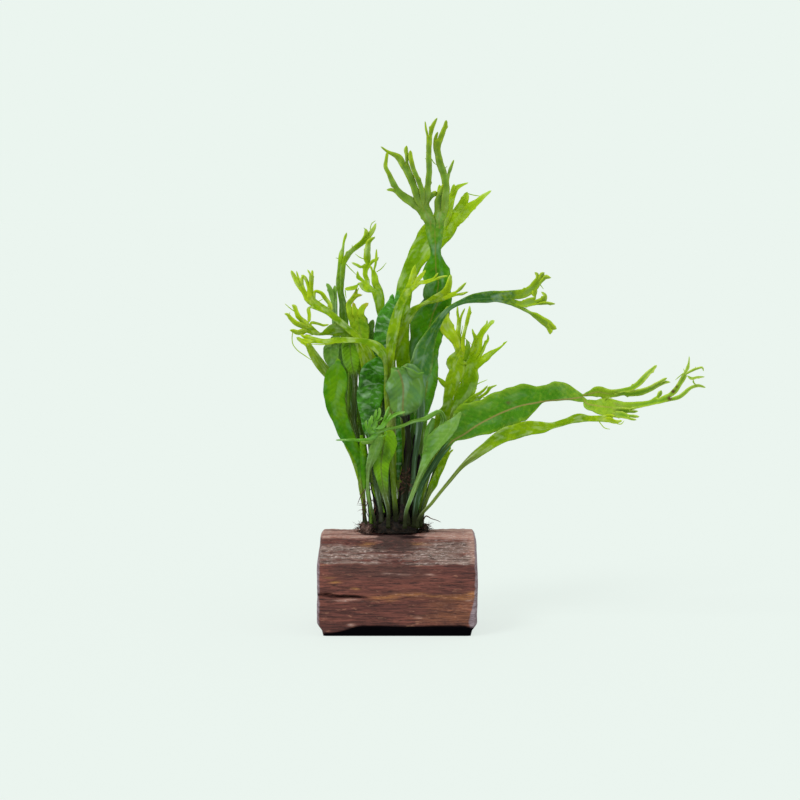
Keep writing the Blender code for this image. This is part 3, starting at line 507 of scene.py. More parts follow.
LEAF_FINISHES: dict[Tone, LeafFinish] = {
    Tone.DEEP: LeafFinish(
        "deep_green_fern_leaf", blade="#4a8a08", shade="#387404", crest="#759232", tip="#a6ba24",
        rib="#8c7a38", back="#3f7430", stalk="#40582a", sheen=0.22, through=0.2, glow="#7cae00",
        rib_strength=0.45
    ),
    # Its pale ripples are painted highlights, over a real waxy coat.
    Tone.GLOSSY: LeafFinish(
        "glossy_fern_leaf_with_painted_sheen", blade="#3f8206", shade="#245806", crest="#3f8a0a", tip="#6cac18",
        rib="#4f8c2c", back="#3f7c34", stalk="#465f30", rough=0.26, wax=0.4, sheen=0.42, through=0.16,
        pucker=1.0, vein_gap=3.4, shine="#bcd8b4", ripple=(2.8, 6.5)
    ),
    Tone.BROAD: LeafFinish(
        "broad_fern_leaf", blade="#629204", shade="#3a7806", crest="#4a8206", tip="#86ae14", rib="#557a1c",
        stalk="#7c9430"
    ),
    Tone.LONG: LeafFinish(
        "long_fern_leaf", blade="#629428", shade="#4a8416", crest="#98b628", tip="#c8d860", rib="#a88a5a",
        stalk="#3a5c38", pucker=0.4, rib_width=0.42, sheen=0.1, rib_strength=0.7, core=0.62, margins=0.6
    ),
    Tone.FRESH: LeafFinish(
        "fresh_fern_leaf", blade="#7aa81a", shade="#5c8c10", crest="#a2c01e", tip="#c0d43c", rib="#9cc238",
        stalk="#5f7a34", through=0.34, shine="#d8e6c4", sheen=0.35, young_sheen=0.8
    ),
    Tone.YELLOW: LeafFinish(
        "yellow_green_fern_leaf", blade="#8eb010", shade="#6a920a", crest="#b0c81c", tip="#c8dc3e",
        rib="#aac83c", stalk="#7c8e3e", through=0.34, rib_strength=0.0, shine="#e4edc4", sheen=0.3,
        young_sheen=0.8, ripple=(5.0, 2.0)
    ),
    # Painted light: a brighter copy of the yellow-green leaf, painted as lit through from behind, besides
    # its stronger translucency.
    Tone.BACKLIT: LeafFinish(
        "yellow_green_fern_leaf_lit_through", shine="#ecf4d0", sheen=0.45, young_sheen=0.8,
        ripple=(4.0, 1.5), blade="#a2c414", shade="#7aa20e", crest="#b4cc1e", tip="#ccdf44", rib="#aac83c",
        stalk="#7c8e3e", through=0.5, glow="#c8ec00", rib_strength=0.0
    ),
    Tone.PALE: LeafFinish(
        "pale_fern_leaf", blade="#76a242", shade="#5c8c30", crest="#7ea444", tip="#8cb050", rib="#94b464",
        stalk="#7ea052", rough=0.45, through=0.3, sheen=0.3
    ),
    Tone.SILVERY: LeafFinish(
        "fern_leaf_turned_to_its_silvery_side", blade="#467a34", shade="#326826", crest="#98b61e",
        tip="#b6ca30", rib="#86a868", stalk="#4c6846", rough=0.42, through=0.24, sheen=0.42
    ),
    Tone.ROUND: LeafFinish(
        "rounded_fern_leaf_underside", blade="#6a923c", shade="#56824a", crest="#689438", tip="#6c9c34",
        back="#6c9650", glow="#a0bc30", rib="#847448", stalk="#1c1f10", streaks=0.08, rough=0.42,
        through=0.24, rib_width=0.5, sheen=0.35, rib_strength=0.65
    ),
    Tone.BRIGHT: LeafFinish(
        "bright_young_fern_leaf", blade="#4e8c18", shade="#3a7810", crest="#649c24", tip="#8cba54",
        rib="#7cb838", stalk="#78a83a", rough=0.3, wax=0.2, through=0.3, sheen=0.4, shine="#c8dcc4"
    ),
    Tone.STREAKY: LeafFinish(
        "streaked_fern_leaf", blade="#78ac18", shade="#527c1a", crest="#78ac14", tip="#90b620",
        rib="#58542c", stalk="#5a6a34", vein_gap=1.6, rib_strength=0.6
    ),
    Tone.BRONZE: LeafFinish(
        "bronze_young_fern_leaf", blade="#88b41e", shade="#659616", crest="#a2c01e", tip="#bcae2e",
        rib="#86783a", stalk="#6a7038", through=0.3
    ),
}


@dataclass(frozen=True)
class DriftwoodFinish:
    """Dense red-brown hardwood that lay in water: split along its grain, so it is fibrous and matt, greyed
    on the slope that weathered, and orange along the ledge from its split, partly its fresh colour and
    partly a painted highlight. Painted shade makes it nearly black underneath and in the split."""

    name: str = "split_red_brown_driftwood"
    heart: str = "#643933"
    dark: str = "#321c1b"
    light: str = "#864e42"
    splinter: str = "#b8846a"
    weathered: str = "#917870"
    hollow: str = "#3f312d"
    bleached: str = "#bcaaa5"
    pinkish: str = "#b08f83"
    ember: str = "#a8703f"
    ochre: str = "#a8793c"
    sawn: str = "#94838a"
    ring: str = "#665258"
    # Painted shade: nearly black under the block and in the split; it also darkens the damp round the
    # creeping stem.
    wet: str = "#070609"
    grain_mm: float = 0.5  # width of the fibres that show
    band_mm: float = 3.4  # width of the darker and lighter bands
    ring_mm: float = 1.9  # between growth rings
    chips: float = 2.3  # a mm across the grain
    strokes: float = 0.8  # torn ones a mm across the grain

    def dress(self) -> bpy.types.Material:
        """Makes the material."""
        made, tree, out = new_material(self.name)
        place = add_node(tree, "ShaderNodeTexCoord").outputs["Object"]
        # Everything runs along X: a fibre is some sixteen times longer than it is wide, a chip four times.
        fibre_space, chip_space = (
            add_node(tree, "ShaderNodeMapping", {"Vector": place, "Scale": (along, PER_METRE, PER_METRE)})
            for along in (60.0, 260.0)
        )
        fibre, band = (
            add_node(
                tree, "ShaderNodeTexNoise",
                {"Vector": fibre_space.outputs[0], "Scale": 1.0 / size, "Detail": detail, "Roughness": 0.65,
                 "Distortion": 0.4}
            ).outputs["Fac"]
            for size, detail in ((self.grain_mm, 4.0), (self.band_mm, 3.0))
        )
        chips, strokes = (
            add_node(
                tree, "ShaderNodeTexNoise",
                {"Vector": chip_space.outputs[0], "Scale": scale, "Detail": 3.0, "Roughness": 0.6}
            ).outputs["Fac"]
            for scale in (self.chips, self.strokes)
        )
        masks = {
            name: add_node(tree, "ShaderNodeAttribute", attribute_name=name).outputs["Fac"]
            for name in ("weathered", "ember", "ochre", "end", "wet", "pale", "painted_shade")
        }
        tone = add_node(tree, "ShaderNodeMapRange", {0: fibre, 1: 0.35, 2: 0.62}).outputs[0]
        colour = layered(tree, self.dark, (
            Layer(tone, self.heart),
            Layer(band, self.light, 0.46, 0.66, 0.75, tone),
            Layer(strokes, self.splinter, 0.62, 0.72, 0.45),
        ))
        # The sawn ends show growth rings round a heart that lay below the block.
        heart = add_node(
            tree, "ShaderNodeMapping",
            {"Vector": place, "Location": (0.0, -4.0, 14.0), "Scale": (0.0, PER_METRE, PER_METRE)}
        ).outputs[0]
        rings = add_node(
            tree, "ShaderNodeTexWave",
            {"Vector": heart, "Scale": WAVE / self.ring_mm, "Distortion": 1.4, "Detail": 2.0,
             "Detail Scale": 0.4},
            wave_type="RINGS", rings_direction="X", wave_profile="SAW"
        ).outputs["Fac"]
        ringed = add_node(
            tree, "ShaderNodeMapRange", {0: rings, 1: 0.35, 2: 1.0, 3: 1.0, 4: 0.25}
        ).outputs[0]
        sawn = add_node(tree, "ShaderNodeMath", {0: ringed, 1: tone}, operation="MULTIPLY").outputs[0]
        # Each kind of surface is made of fibres between two colours, with chips of a third.
        for mask, low, high, flecks in (
            ("weathered", self.hollow, self.weathered, self.bleached),
            ("pale", self.light, self.pinkish, self.bleached),
            # The orange ledge, partly a painted highlight.
            ("ember", self.heart, self.ember, self.splinter),
            ("ochre", self.heart, self.ochre, self.ochre),
            # Painted shade under the slope's lower edge and in the hollow below the creeping stem.
            ("painted_shade", self.dark, self.hollow, self.heart),
            ("end", self.ring, self.sawn, self.sawn),
        ):
            share = sawn if mask == "end" else tone
            chipped = layered(tree, low, (Layer(share, high), Layer(chips, flecks, 0.54, 0.64, 0.75)))
            colour = layered(tree, colour, [Layer(masks[mask], chipped)])
        # Painted shade, nearly black under the block and in the split, with the damp stain round the
        # creeping stem.
        colour = layered(tree, colour, [Layer(masks["wet"], self.wet)])
        deep = add_node(
            tree, "ShaderNodeBump", {"Strength": 1.0, "Distance": 0.0004, "Height": fibre}
        ).outputs[0]
        rough = add_node(
            tree, "ShaderNodeBump", {"Strength": 0.8, "Distance": 0.0003, "Height": chips, "Normal": deep}
        ).outputs[0]
        matt = add_node(tree, "ShaderNodeMapRange", {0: fibre, 1: 0.3, 2: 0.7, 3: 0.72, 4: 0.9}).outputs[0]
        shine = add_node(tree, "ShaderNodeMapRange", {0: masks["wet"], 3: 0.3, 4: 0.0}).outputs[0]
        shader = add_node(
            tree,
            "ShaderNodeBsdfPrincipled",
            {"Base Color": colour, "Roughness": matt, "IOR": 1.45, "Specular IOR Level": shine,
             "Normal": rough},
        )
        tree.links.new(shader.outputs[0], out.inputs["Surface"])
        return made


@dataclass(frozen=True)
class RootFinish:
    """Dead bark and roots: crumbly, matt, nearly black where they stay wet, rust-brown where they dry."""

    name: str
    dark: str
    light: str
    lump_mm: float = 1.1  # size of its crumbs

    def dress(self) -> bpy.types.Material:
        """Makes the material."""
        made, tree, out = new_material(self.name)
        place = add_node(tree, "ShaderNodeTexCoord").outputs["Object"]
        mm = add_node(tree, "ShaderNodeMapping", {"Vector": place, "Scale": (PER_METRE,) * 3}).outputs[0]
        crumb = add_node(
            tree, "ShaderNodeTexNoise",
            {"Vector": mm, "Scale": 1.0 / self.lump_mm, "Detail": 6.0, "Roughness": 0.7}
        ).outputs["Fac"]
        colour = layered(tree, self.dark, [Layer(crumb, self.light, 0.42, 0.7)])
        bump = add_node(
            tree, "ShaderNodeBump", {"Strength": 0.8, "Distance": 0.0005, "Height": crumb}
        ).outputs[0]
        shader = add_node(
            tree,
            "ShaderNodeBsdfPrincipled",
            {"Base Color": colour, "Roughness": 0.82, "IOR": 1.4, "Specular IOR Level": 0.3,
             "Normal": bump},
        )
        tree.links.new(shader.outputs[0], out.inputs["Surface"])
        return made


@dataclass(frozen=True)
class FloorFinish:
    """Seamless pale paper, lit through from below so that shadows on it stay faint."""

    name: str = "pale_studio_paper"
    colour: str = "#eaf4ef"
    light: str = "#e6eee9"  # what it gives off itself
    glow: float = 0.86  # how much of its brightness is its own

    def dress(self) -> bpy.types.Material:
        """Makes the material."""
        made, tree, out = new_material(self.name)
        paper = add_node(tree, "ShaderNodeBsdfDiffuse", {"Color": self.colour})
        light = add_node(tree, "ShaderNodeEmission", {"Color": self.light, "Strength": 1.0})
        both = add_node(
            tree, "ShaderNodeMixShader", {0: self.glow, 1: paper.outputs[0], 2: light.outputs[0]}
        )
        tree.links.new(both.outputs[0], out.inputs["Surface"])
        return made


FAN_SPREAD = 34.0  # how far the outer straps of a hidden crest turn from its direction, degrees
FORK_TURNS = (-0.32, 0.3)  # how far their tips turn to the left and to the right, radians
LEAST_FOOT = 0.45  # mm: a narrower branch still takes this share of the row that it starts from
TAPER_ROWS = np.array((0.26, 0.5, 0.72, 0.89, 1.0))  # where the rows are along a tip's taper
LEAF_SKINS: dict[tuple[str, bool], bpy.types.Material] = {}


def leaf_skin(finish: LeafFinish, under: bool) -> bpy.types.Material:
    """Gives a side's material, which all fronds of the same finish share."""
    key = (finish.name, under)
    if key not in LEAF_SKINS:
        LEAF_SKINS[key] = finish.skin(under)
    return LEAF_SKINS[key]


@dataclass(frozen=True)
class Strap:
    """One strap of a frond's crest, and the straps that it forks into, from left to right as it runs."""

    lean: float  # how far its end goes back (+) or comes forward (-), mm
    points: tuple[tuple[float, float, float], ...]  # (across, up, half width) from its foot to its end
    branches: tuple["Strap", ...] = ()

    def columns(self) -> int:
        """How many columns of faces it and its branches need side by side."""
        wide = 3 if self.points[-1][2] > 0.7 else 2
        return max(wide, sum(branch.columns() for branch in self.branches))

    def reach(self) -> float:
        """How long it is to its furthest tip, in millimetres."""
        own = sum(math.dist(a[:2], b[:2]) for a, b in zip(self.points, self.points[1:])) + 3.0
        return own + max((branch.reach() for branch in self.branches), default=0.0)


def strap(lean: float, points: tuple[tuple[float, float, float], ...], *branches: Strap) -> Strap:
    """A strap with its branches written after it."""
    return Strap(lean, points, branches)


def fan(
    across: float, up: float, heading: float, reach: float, forks: int, lean: float = 0.0
) -> tuple[Strap, ...]:
    """Makes a plain crest for a frond that others hide.

    Args:
        across: where the crest starts, mm.
        up: where the crest starts, mm.
        heading: its direction in degrees from straight up, to the right.
        reach: how far it goes, mm.
        forks: its number of straps, which spread out and each fork once.
        lean: how far it goes back, mm.

    Returns:
        The crest's straps.
    """
    straps = []
    for i in range(forks):
        side = 2.0 * i / (forks - 1) - 1.0
        turn = math.radians(heading + FAN_SPREAD * side)
        length = reach * (1.0 - 0.25 * side * side)
        middle = (across + 0.55 * length * math.sin(turn), up + 0.55 * length * math.cos(turn))
        tips = []
        for turned in FORK_TURNS:
            tip_across = middle[0] + 0.5 * length * math.sin(turn + turned)
            tip_up = middle[1] + 0.5 * length * math.cos(turn + turned)
            tips.append(Strap(lean * (0.6 + 0.4 * side), ((tip_across, tip_up, 0.35),)))
        straps.append(Strap(lean + 1.2 * side, ((middle[0], middle[1], 0.85),), tuple(tips)))
    return tuple(straps)


def split_shares(branches: Sequence[Strap]) -> list[float]:
    """Where a row divides among its branches, from 0 to 1, by how wide each one starts."""
    widths = [max(branch.points[0][2], LEAST_FOOT) for branch in branches]
    shares = [0.0]
    for width in widths:
        shares.append(shares[-1] + width / sum(widths))
    return shares


def shared_columns(columns: int, branches: Sequence[Strap]) -> list[int]:
    """Divides a row's columns among its branches, so that each has all that it needs.

    Args:
        columns: how many there are.
        branches: the straps that start from the row.

    Returns:
        The number of columns of each branch.
    """
    counts = [branch.columns() for branch in branches]
    while sum(counts) < columns:
        room = [max(branch.points[0][2], LEAST_FOOT) / count for branch, count in zip(branches, counts)]
        counts[room.index(max(room))] += 1
    return counts


def foot_height(x: float, y: float) -> float:
    """How high a stalk that grows at (x, y) begins: just over the creeping stem or the roots, in mm."""
    wide = (abs(x - STEM_CENTRE[0]) / STEM_HALF[0]) ** STEM_POWER
    deep = (abs(y - STEM_CENTRE[1]) / STEM_HALF[1]) ** STEM_POWER
    top = STEM_CENTRE[2] + STEM_HALF[2] * max(1.0 - wide - deep, 0.0) ** (1.0 / STEM_POWER)
    return max(top + 0.9, BLOCK_TOP + 4.6)


@dataclass
class Run:
    """One sheet of a frond as it is laid out, a row at a time from its foot to its end."""

    laid: np.ndarray  # (rows, columns, 3) across, up and depth, mm
    sides: np.ndarray  # (rows, columns) -1 at the left edge to 1 at the right
    halves: np.ndarray  # (rows, columns) half width on that side, mm
    along: np.ndarray  # (rows,) distance from the frond's foot, mm
    crest: np.ndarray  # (rows,) 0 on the blade to 1 at a tip
    stalk: np.ndarray  # (rows,) 1 on the stalk, 0 where the blade has widened
    low: np.ndarray  # (rows,) 1 at the stalk's foot, which is painted in shade, 0 further up

    def thickness(self) -> np.ndarray:
        """How thick the leaf is at each place, in mm: a round stalk, a firm rib and a thin margin."""
        half = self.halves
        on_stalk = self.stalk[:, None]
        young = self.crest[:, None]
        middle = np.clip(0.72 - 0.03 * (half - 2.0), 0.5, 0.72) * (1.0 - young) + 0.4 * young
        middle = np.minimum(middle + 0.6 * on_stalk, 1.25 * half)
        margin = np.minimum(0.24 + 0.12 * on_stalk, 0.9 * half)
        rise = 1.0 - np.abs(self.sides) ** (1.0 + on_stalk)
        return margin + np.maximum(middle - margin, 0.0) * rise

    def sheet(self, name: str, spots: Sequence[tuple[float, float, float]]) -> bpy.types.Object:
        """Makes the run's mesh, with what its materials read.

        Args:
            name: the object's name.
            spots: its dead spots, as (across, up, radius), mm.

        Returns:
            The sheet, one face thick.
        """
        rows, columns = self.sides.shape
        made = new_sheet(name, columns - 1, rows - 1, seen(self.laid))
        mesh = made.data
        across_all = np.ones(columns)[None, :]
        dead = np.zeros((rows, columns))
        for across, up, radius in spots:
            away = np.hypot(self.laid[..., 0] - across, self.laid[..., 1] - up)
            dead = np.maximum(dead, smoothstep(1.3 * radius, 0.5 * radius, away))
        for attribute, values in (
            ("crest", self.crest[:, None] * across_all),
            ("stalk", self.stalk[:, None] * across_all),
            ("low", self.low[:, None] * across_all),
            ("edge", np.abs(self.sides)),
            ("dead", dead),
            ("thickness", self.thickness()),
        ):
            set_values(mesh, attribute, values)
        layer = mesh.uv_layers[0]
        layer.name = "leaf"
        corner = np.empty(len(mesh.loops), np.int32)
        mesh.loops.foreach_get("vertex_index", corner)
        places = np.stack((self.sides * self.halves, self.along[:, None] * across_all), axis=-1)
        layer.data.foreach_set("uv", (places.reshape(-1, 2) * CM)[corner].astype(np.float32).ravel())
        return made


@dataclass(frozen=True)
class Frond:
    """One fern frond: a stalk that widens into a blade, and a crest whose straps fork again and again.

    depths are evenly spaced along its blade after its foot's own y. roll turns the blade about its middle,
    so that its right side goes back by roll times the half width. fold brings both sides forward by fold
    times about the half width.
    """

    foot: tuple[float, float]  # (x, y) on the creeping stem, mm
    depths: tuple[float, ...]
    roll: float
    fold: float
    blade: tuple[tuple[float, ...], ...]  # (across, up, half width) or (across, up, left, right)
    crest: tuple[Strap, ...]
    tone: Tone
    spots: tuple[tuple[float, float, float], ...] = ()  # dead brown spots: (across, up, radius)
    threads: tuple[tuple[tuple[float, ...], ...], ...] = ()  # thin tips: (across, up), or with a half width
    bare: tuple[float, float] = (1.1, 2.3)  # half widths where the stalk ends and the blade begins, mm
    ruffle: float = 0.7  # how far the blade's margins wave in depth, mm
    row_gap: float = 1.1  # mm between rows of a blade
    strap_row_gap: float = 0.5  # mm between rows of a strap
    spur_rate: float = 0.03  # teeth for each mm of a strap's margin
    foot_depth: float = 2.2  # how far the stalk goes down into the creeping stem, mm
    leaf_limit: float = 1.35  # the thickest that the leaf can be, mm
    thread_half: float = 0.18  # half width of a hair-thin tip, mm
    swell: float = 0.12  # what every strap is widened by on each side, mm
    least_columns: int = 10  # of faces across the blade
    foot_flare: float = 1.25  # how much wider the stalk is where it goes into the creeping stem
    least_half: float = 0.3  # the narrowest that half a stalk can be, mm
    blade_wave: tuple[float, float] = (11.0, 0.06)  # of a blade's margin: its length in mm and its share
    strap_wave: tuple[float, float] = (7.0, 0.08)  # the same of a strap
    ruffle_length: tuple[float, float] = (13.0, 19.0)  # the range that a blade's ruffle is drawn from, mm
    fine_ruffle: float = 7.3  # the length of the finer ruffle on it, mm
    strap_ripple: float = 6.1  # the length of a strap's ripples in depth, mm
    young_end: float = 14.0  # how much of the blade's end begins to look young, mm
    shaded_foot: tuple[float, float] = (3.0, 12.0)  # painted shade covers the stalk up to one and fades out by the other, mm

    def rows_at(self, length: float, gap: float, taper: float) -> np.ndarray:
        """Spaces the rows of a run.

        Args:
            length: its length, mm.
            gap: the space between its rows, mm.
            taper: how much of its end narrows to a tip, mm, where the rows are closer.

        Returns:
            Each row's distance from the run's start.
        """
        straight = length - taper
        even = np.linspace(0.0, straight, max(int(round(straight / gap)), 2) + 1)
        if taper <= 0.0:
            return even
        return np.concatenate((even, straight + taper * TAPER_ROWS))

    def wander(self, rng: random.Random, at: np.ndarray, gap: float, size: float) -> np.ndarray:
        """A gentle irregular wave along a margin.

        Args:
            rng: the frond's own random numbers.
            at: distances along, mm.
            gap: the length of its main wave, mm.
            size: its height as a share of the width.

        Returns:
            What the half width is multiplied by at each distance.
        """
        wave = np.zeros_like(at)
        for share, weight in ((1.0, 0.5), (0.57, 0.32), (0.31, 0.18)):
            length = gap * share * rng.uniform(0.85, 1.2)
            wave += weight * np.sin(2.0 * math.pi * at / length + rng.uniform(0, 6.3))
        return 1.0 + size * wave

    def spurs(self, rng: random.Random, at: np.ndarray, length: float) -> np.ndarray:
        """Small teeth that stand out here and there from a long strap's margin.

        Args:
            rng: the frond's own random numbers.
            at: distances along, mm.
            length: the strap's length, mm.

        Returns:
            What is added to the half width at each distance, mm.
        """
        out = np.zeros_like(at)
        for _ in range(int(length * self.spur_rate + rng.random())):
            middle = rng.uniform(1.5, max(length - 1.0, 2.0))
            out += rng.uniform(0.2, 0.5) * np.exp(-(((at - middle) / rng.uniform(0.35, 0.6)) ** 2))
        return out

    def place_rows(
        self, line: np.ndarray, sides: np.ndarray, left: np.ndarray, right: np.ndarray, lift: np.ndarray
    ) -> tuple[np.ndarray, np.ndarray]:
        """Sets out the rows of a run across its middle line.

        Args:
            line: (rows, 3) across, up and depth of the middle.
            sides: (rows, columns) -1 to 1.
            left: (rows,) half width to the left, mm.
            right: (rows,) half width to the right, mm.
            lift: (rows, columns) what is added to the depth, mm.

        Returns:
            The laid-out places and the half widths of each place.
        """
        ahead = np.gradient(line[:, :2], axis=0)
        ahead /= np.maximum(np.linalg.norm(ahead, axis=1, keepdims=True), 1e-9)
        leftward = np.stack((-ahead[:, 1], ahead[:, 0]), axis=1)
        halves = np.where(sides < 0.0, left[:, None], right[:, None])
        out = -(sides * halves)[..., None] * leftward[:, None, :]
        laid = np.empty(sides.shape + (3,))
        laid[..., :2] = line[:, None, :2] + out
        laid[..., 2] = line[:, None, 2] + lift
        return laid, halves

    def lay_blade(self, rng: random.Random, columns: int, counts: Sequence[int]) -> Run:
        """Lays out the stalk and blade.

        Args:
            rng: the frond's own random numbers.
            columns: how many columns of faces it has.
            counts: how many of them each strap of the crest takes.

        Returns:
            The run.
        """
        foot_x, foot_y = self.foot
        start = laid_out(foot_x, foot_y, foot_height(foot_x, foot_y))
        first = self.blade[0]
        points = [
            (start[0], start[1] - self.foot_depth, first[2] * self.foot_flare),
            (start[0], start[1], first[2]),
            *self.blade,
        ]
        halves = np.array([(p[2], p[3] if len(p) > 3 else p[2]) for p in points])
        middle = np.array([p[:2] for p in points])
        lengths = distances(middle)
        depths = np.array((foot_y,) + self.depths)
        shares = np.clip((lengths - lengths[1]) / (lengths[-1] - lengths[1]), 0.0, 1.0)
        depth = np.interp(shares, np.linspace(0.0, 1.0, len(depths)), depths)
        at = self.rows_at(lengths[-1], self.row_gap, 0.0)
        controls = np.column_stack((middle, depth, halves))
        run = smooth_run(controls, lengths, at)
        grown = np.clip((at - lengths[1]) / (lengths[-1] - lengths[1]), 0.0, 1.0)
        stalk = 1.0 - smoothstep(*self.bare, np.maximum.accumulate(np.maximum(run[:, 3], run[:, 4])))
        steady = np.minimum(1.0, (lengths[-1] - at) / 3.0) * (1.0 - stalk)
        left, right = (
            np.maximum(run[:, column], self.least_half)
            * (1.0 + (self.wander(rng, at, *self.blade_wave) - 1.0) * steady)
            for column in (3, 4)
        )
        even = np.linspace(-1.0, 1.0, columns + 1)
        ends = self.end_sides(self.crest, counts)
        turn = smoothstep(0.5, 1.0, grown)[:, None]
        sides = even[None, :] * (1.0 - turn) + ends[None, :] * turn
        rolled = self.roll * np.minimum(1.0, grown / 0.3)
        wide = np.where(sides < 0.0, left[:, None], right[:, None])
        wave = np.zeros_like(sides)
        for edge in (-1.0, 1.0):
            here = np.clip(sides * edge, 0.0, 1.0) ** 1.5
            phase = rng.uniform(0.0, 6.3)
            length = rng.uniform(*self.ruffle_length)
            ripple = np.sin(2.0 * math.pi * at / length + phase)
            ripple = ripple + 0.45 * np.sin(2.0 * math.pi * at / self.fine_ruffle + 2.0 * phase)
            wave += here * ripple[:, None] * self.ruffle * np.clip(wide / 5.0, 0.0, 1.4)
        wave *= (1.0 - stalk)[:, None]
        lift = sides * wide * rolled[:, None] - np.abs(sides) ** 1.25 * wide * self.fold + wave
        laid, half = self.place_rows(run[:, :3], sides, left, right, lift)
        crest = 0.16 * smoothstep(lengths[-1] - self.young_end, lengths[-1], at)
        low = 1.0 - smoothstep(*self.shaded_foot, at)
        return Run(laid, sides, half, at, crest, stalk, low)

    def end_sides(self, branches: Sequence[Strap], counts: Sequence[int]) -> np.ndarray:
        """The sides of a last row's columns, so that each branch starts between two of them."""
        if len(branches) < 2:
            return np.linspace(-1.0, 1.0, sum(counts) + 1)
        sides = [-1.0]
        shares = split_shares(branches)
        for share, following, count in zip(shares, shares[1:], counts):
            sides += [2.0 * (share + (following - share) * (i + 1) / count) - 1.0 for i in range(count)]
        return np.array(sides)

    def lay_strap(
        self, rng: random.Random, parts: Strap, parent: Run, first: int, columns: int
    ) -> list[Run]:
        """Lays out a strap and all that it forks into.

        Args:
            rng: the frond's own random numbers.
            parts: the strap.
            parent: the run that it grows from.
            first: the number of the parent's column that it starts at.
            columns: how many columns of faces it has.

        Returns:
            The strap's own run, then those of its branches.
        """
        joint = parent.laid[-1, first : first + columns + 1]
        behind = 0.5 * (parent.laid[-2, first] + parent.laid[-2, first + columns])
        start = 0.5 * (joint[0] + joint[-1])
        start_half = 0.5 * float(np.linalg.norm((joint[-1] - joint[0])[:2]))
        points = parts.points
        count = len(points)
        controls = [(start[0], start[1], start[2], start_half)]
        for i, (across, up, half_width) in enumerate(points):
            depth = start[2] + parts.lean * ((i + 1) / count) ** 1.4
            controls.append((across, up, depth, half_width))
        controls = np.array(controls)
        lengths = distances(controls[:, :2])
        is_tip = not parts.branches
        end_half = points[-1][2]
        is_fine = end_half < 0.8
        taper = min(max((2.1 if is_fine else 1.1) * end_half, 0.7), 0.5 * lengths[-1]) if is_tip else 0.0
        at = self.rows_at(lengths[-1], self.strap_row_gap, taper)
        chord = (controls[1, :2] - controls[0, :2]) / lengths[1]
        before = (start - behind)[:2]
        before /= max(float(np.linalg.norm(before)), 1e-6)
        slope = (controls[1] - controls[0]) / lengths[1]
        slope[:2] = 0.5 * chord + 0.5 * before
        run = smooth_run(controls, lengths, at, slope)
        half = np.maximum(run[:, 3] + self.swell * smoothstep(0.0, 2.0, at), 0.16)
        if is_tip:
            over = np.clip((at - (lengths[-1] - taper)) / taper, 0.0, 1.0)
            narrowing = np.maximum(1.0 - over**1.5, 0.0) ** (0.8 if is_fine else 0.55)
            half = np.maximum(half * narrowing, 0.03)
        free = smoothstep(0.0, min(2.0 * start_half + 1.2, 0.8 * lengths[-1]), at)
        left, right = (
            half * (1.0 + (self.wander(rng, at, *self.strap_wave) - 1.0) * free)
            + self.spurs(rng, at, lengths[-1]) * free
            for _ in range(2)
        )
        spread = parent.sides[-1, first : first + columns + 1]
        begun = 2.0 * (spread - spread[0]) / (spread[-1] - spread[0]) - 1.0
        counts = shared_columns(columns, parts.branches) if parts.branches else [columns]
        ends = self.end_sides(parts.branches, counts)
        turn = smoothstep(0.2, 1.0, at / lengths[-1])[:, None]
        sides = begun[None, :] * (1.0 - turn) + ends[None, :] * turn
        twist = rng.uniform(-0.75, 0.75)
        curl = rng.uniform(-0.45, 0.2)
        wide = np.where(sides < 0.0, left[:, None], right[:, None])
        lift = sides * wide * (self.roll + twist * free[:, None]) + curl * np.abs(sides) ** 1.4 * wide
        ripple = np.sin(2.0 * math.pi * at / self.strap_ripple + rng.uniform(0.0, 6.3))
        lift = lift + (0.3 * ripple * free)[:, None]
        laid, halves = self.place_rows(run[:, :3], sides, left, right, lift)
        laid += (joint - laid[0])[None, :, :] * (1.0 - free)[:, None, None]
        begin = float(parent.crest[-1])
        total = lengths[-1] + max((branch.reach() for branch in parts.branches), default=0.0)
        crest = begin + (1.0 - begin) * at / total
        zero = np.zeros_like(at)
        own = Run(laid, sides, halves, parent.along[-1] + at, crest, zero, zero)
        runs = [own]
        column = 0
        for branch, share in zip(parts.branches, counts):
            runs += self.lay_strap(rng, branch, own, column, share)
            column += share
        return runs

    def lay_thread(
        self, rng: random.Random, places: Sequence[tuple[float, ...]], runs: Sequence[Run]
    ) -> Run:
        """Lays out a thin tip, at the depth of the part of the frond nearest to its start.

        Args:
            rng: the frond's own random numbers.
            places: its (across, up) places, with a half width if it's a strip of blade and not hair-thin.
            runs: the frond's other runs.

        Returns:
            The run.
        """
        every = np.concatenate([run.laid.reshape(-1, 3) for run in runs])
        depth = every[np.argmin(np.linalg.norm(every[:, :2] - np.array(places[0][:2]), axis=1)), 2]
        lean = rng.uniform(-1.2, 1.2)
        rows = []
        for i, place in enumerate(places):
            half = place[2] if len(place) > 2 else self.thread_half * (1.0 if i < len(places) - 1 else 0.5)
            rows.append((place[0], place[1], depth + lean * i / len(places), half))
        controls = np.array(rows)
        lengths = distances(controls[:, :2])
        at = self.rows_at(lengths[-1], 0.4, 0.0)
        run = smooth_run(controls, lengths, at)
        sides = np.tile(np.array((-1.0, 0.0, 1.0)), (len(at), 1))
        laid, halves = self.place_rows(run[:, :3], sides, run[:, 3], run[:, 3], 0.0 * sides)
        zero = np.zeros_like(at)
        crest = zero if len(places[0]) > 2 else 0.6 + 0.4 * at / lengths[-1]
        return Run(laid, sides, halves, at, crest, zero, zero)

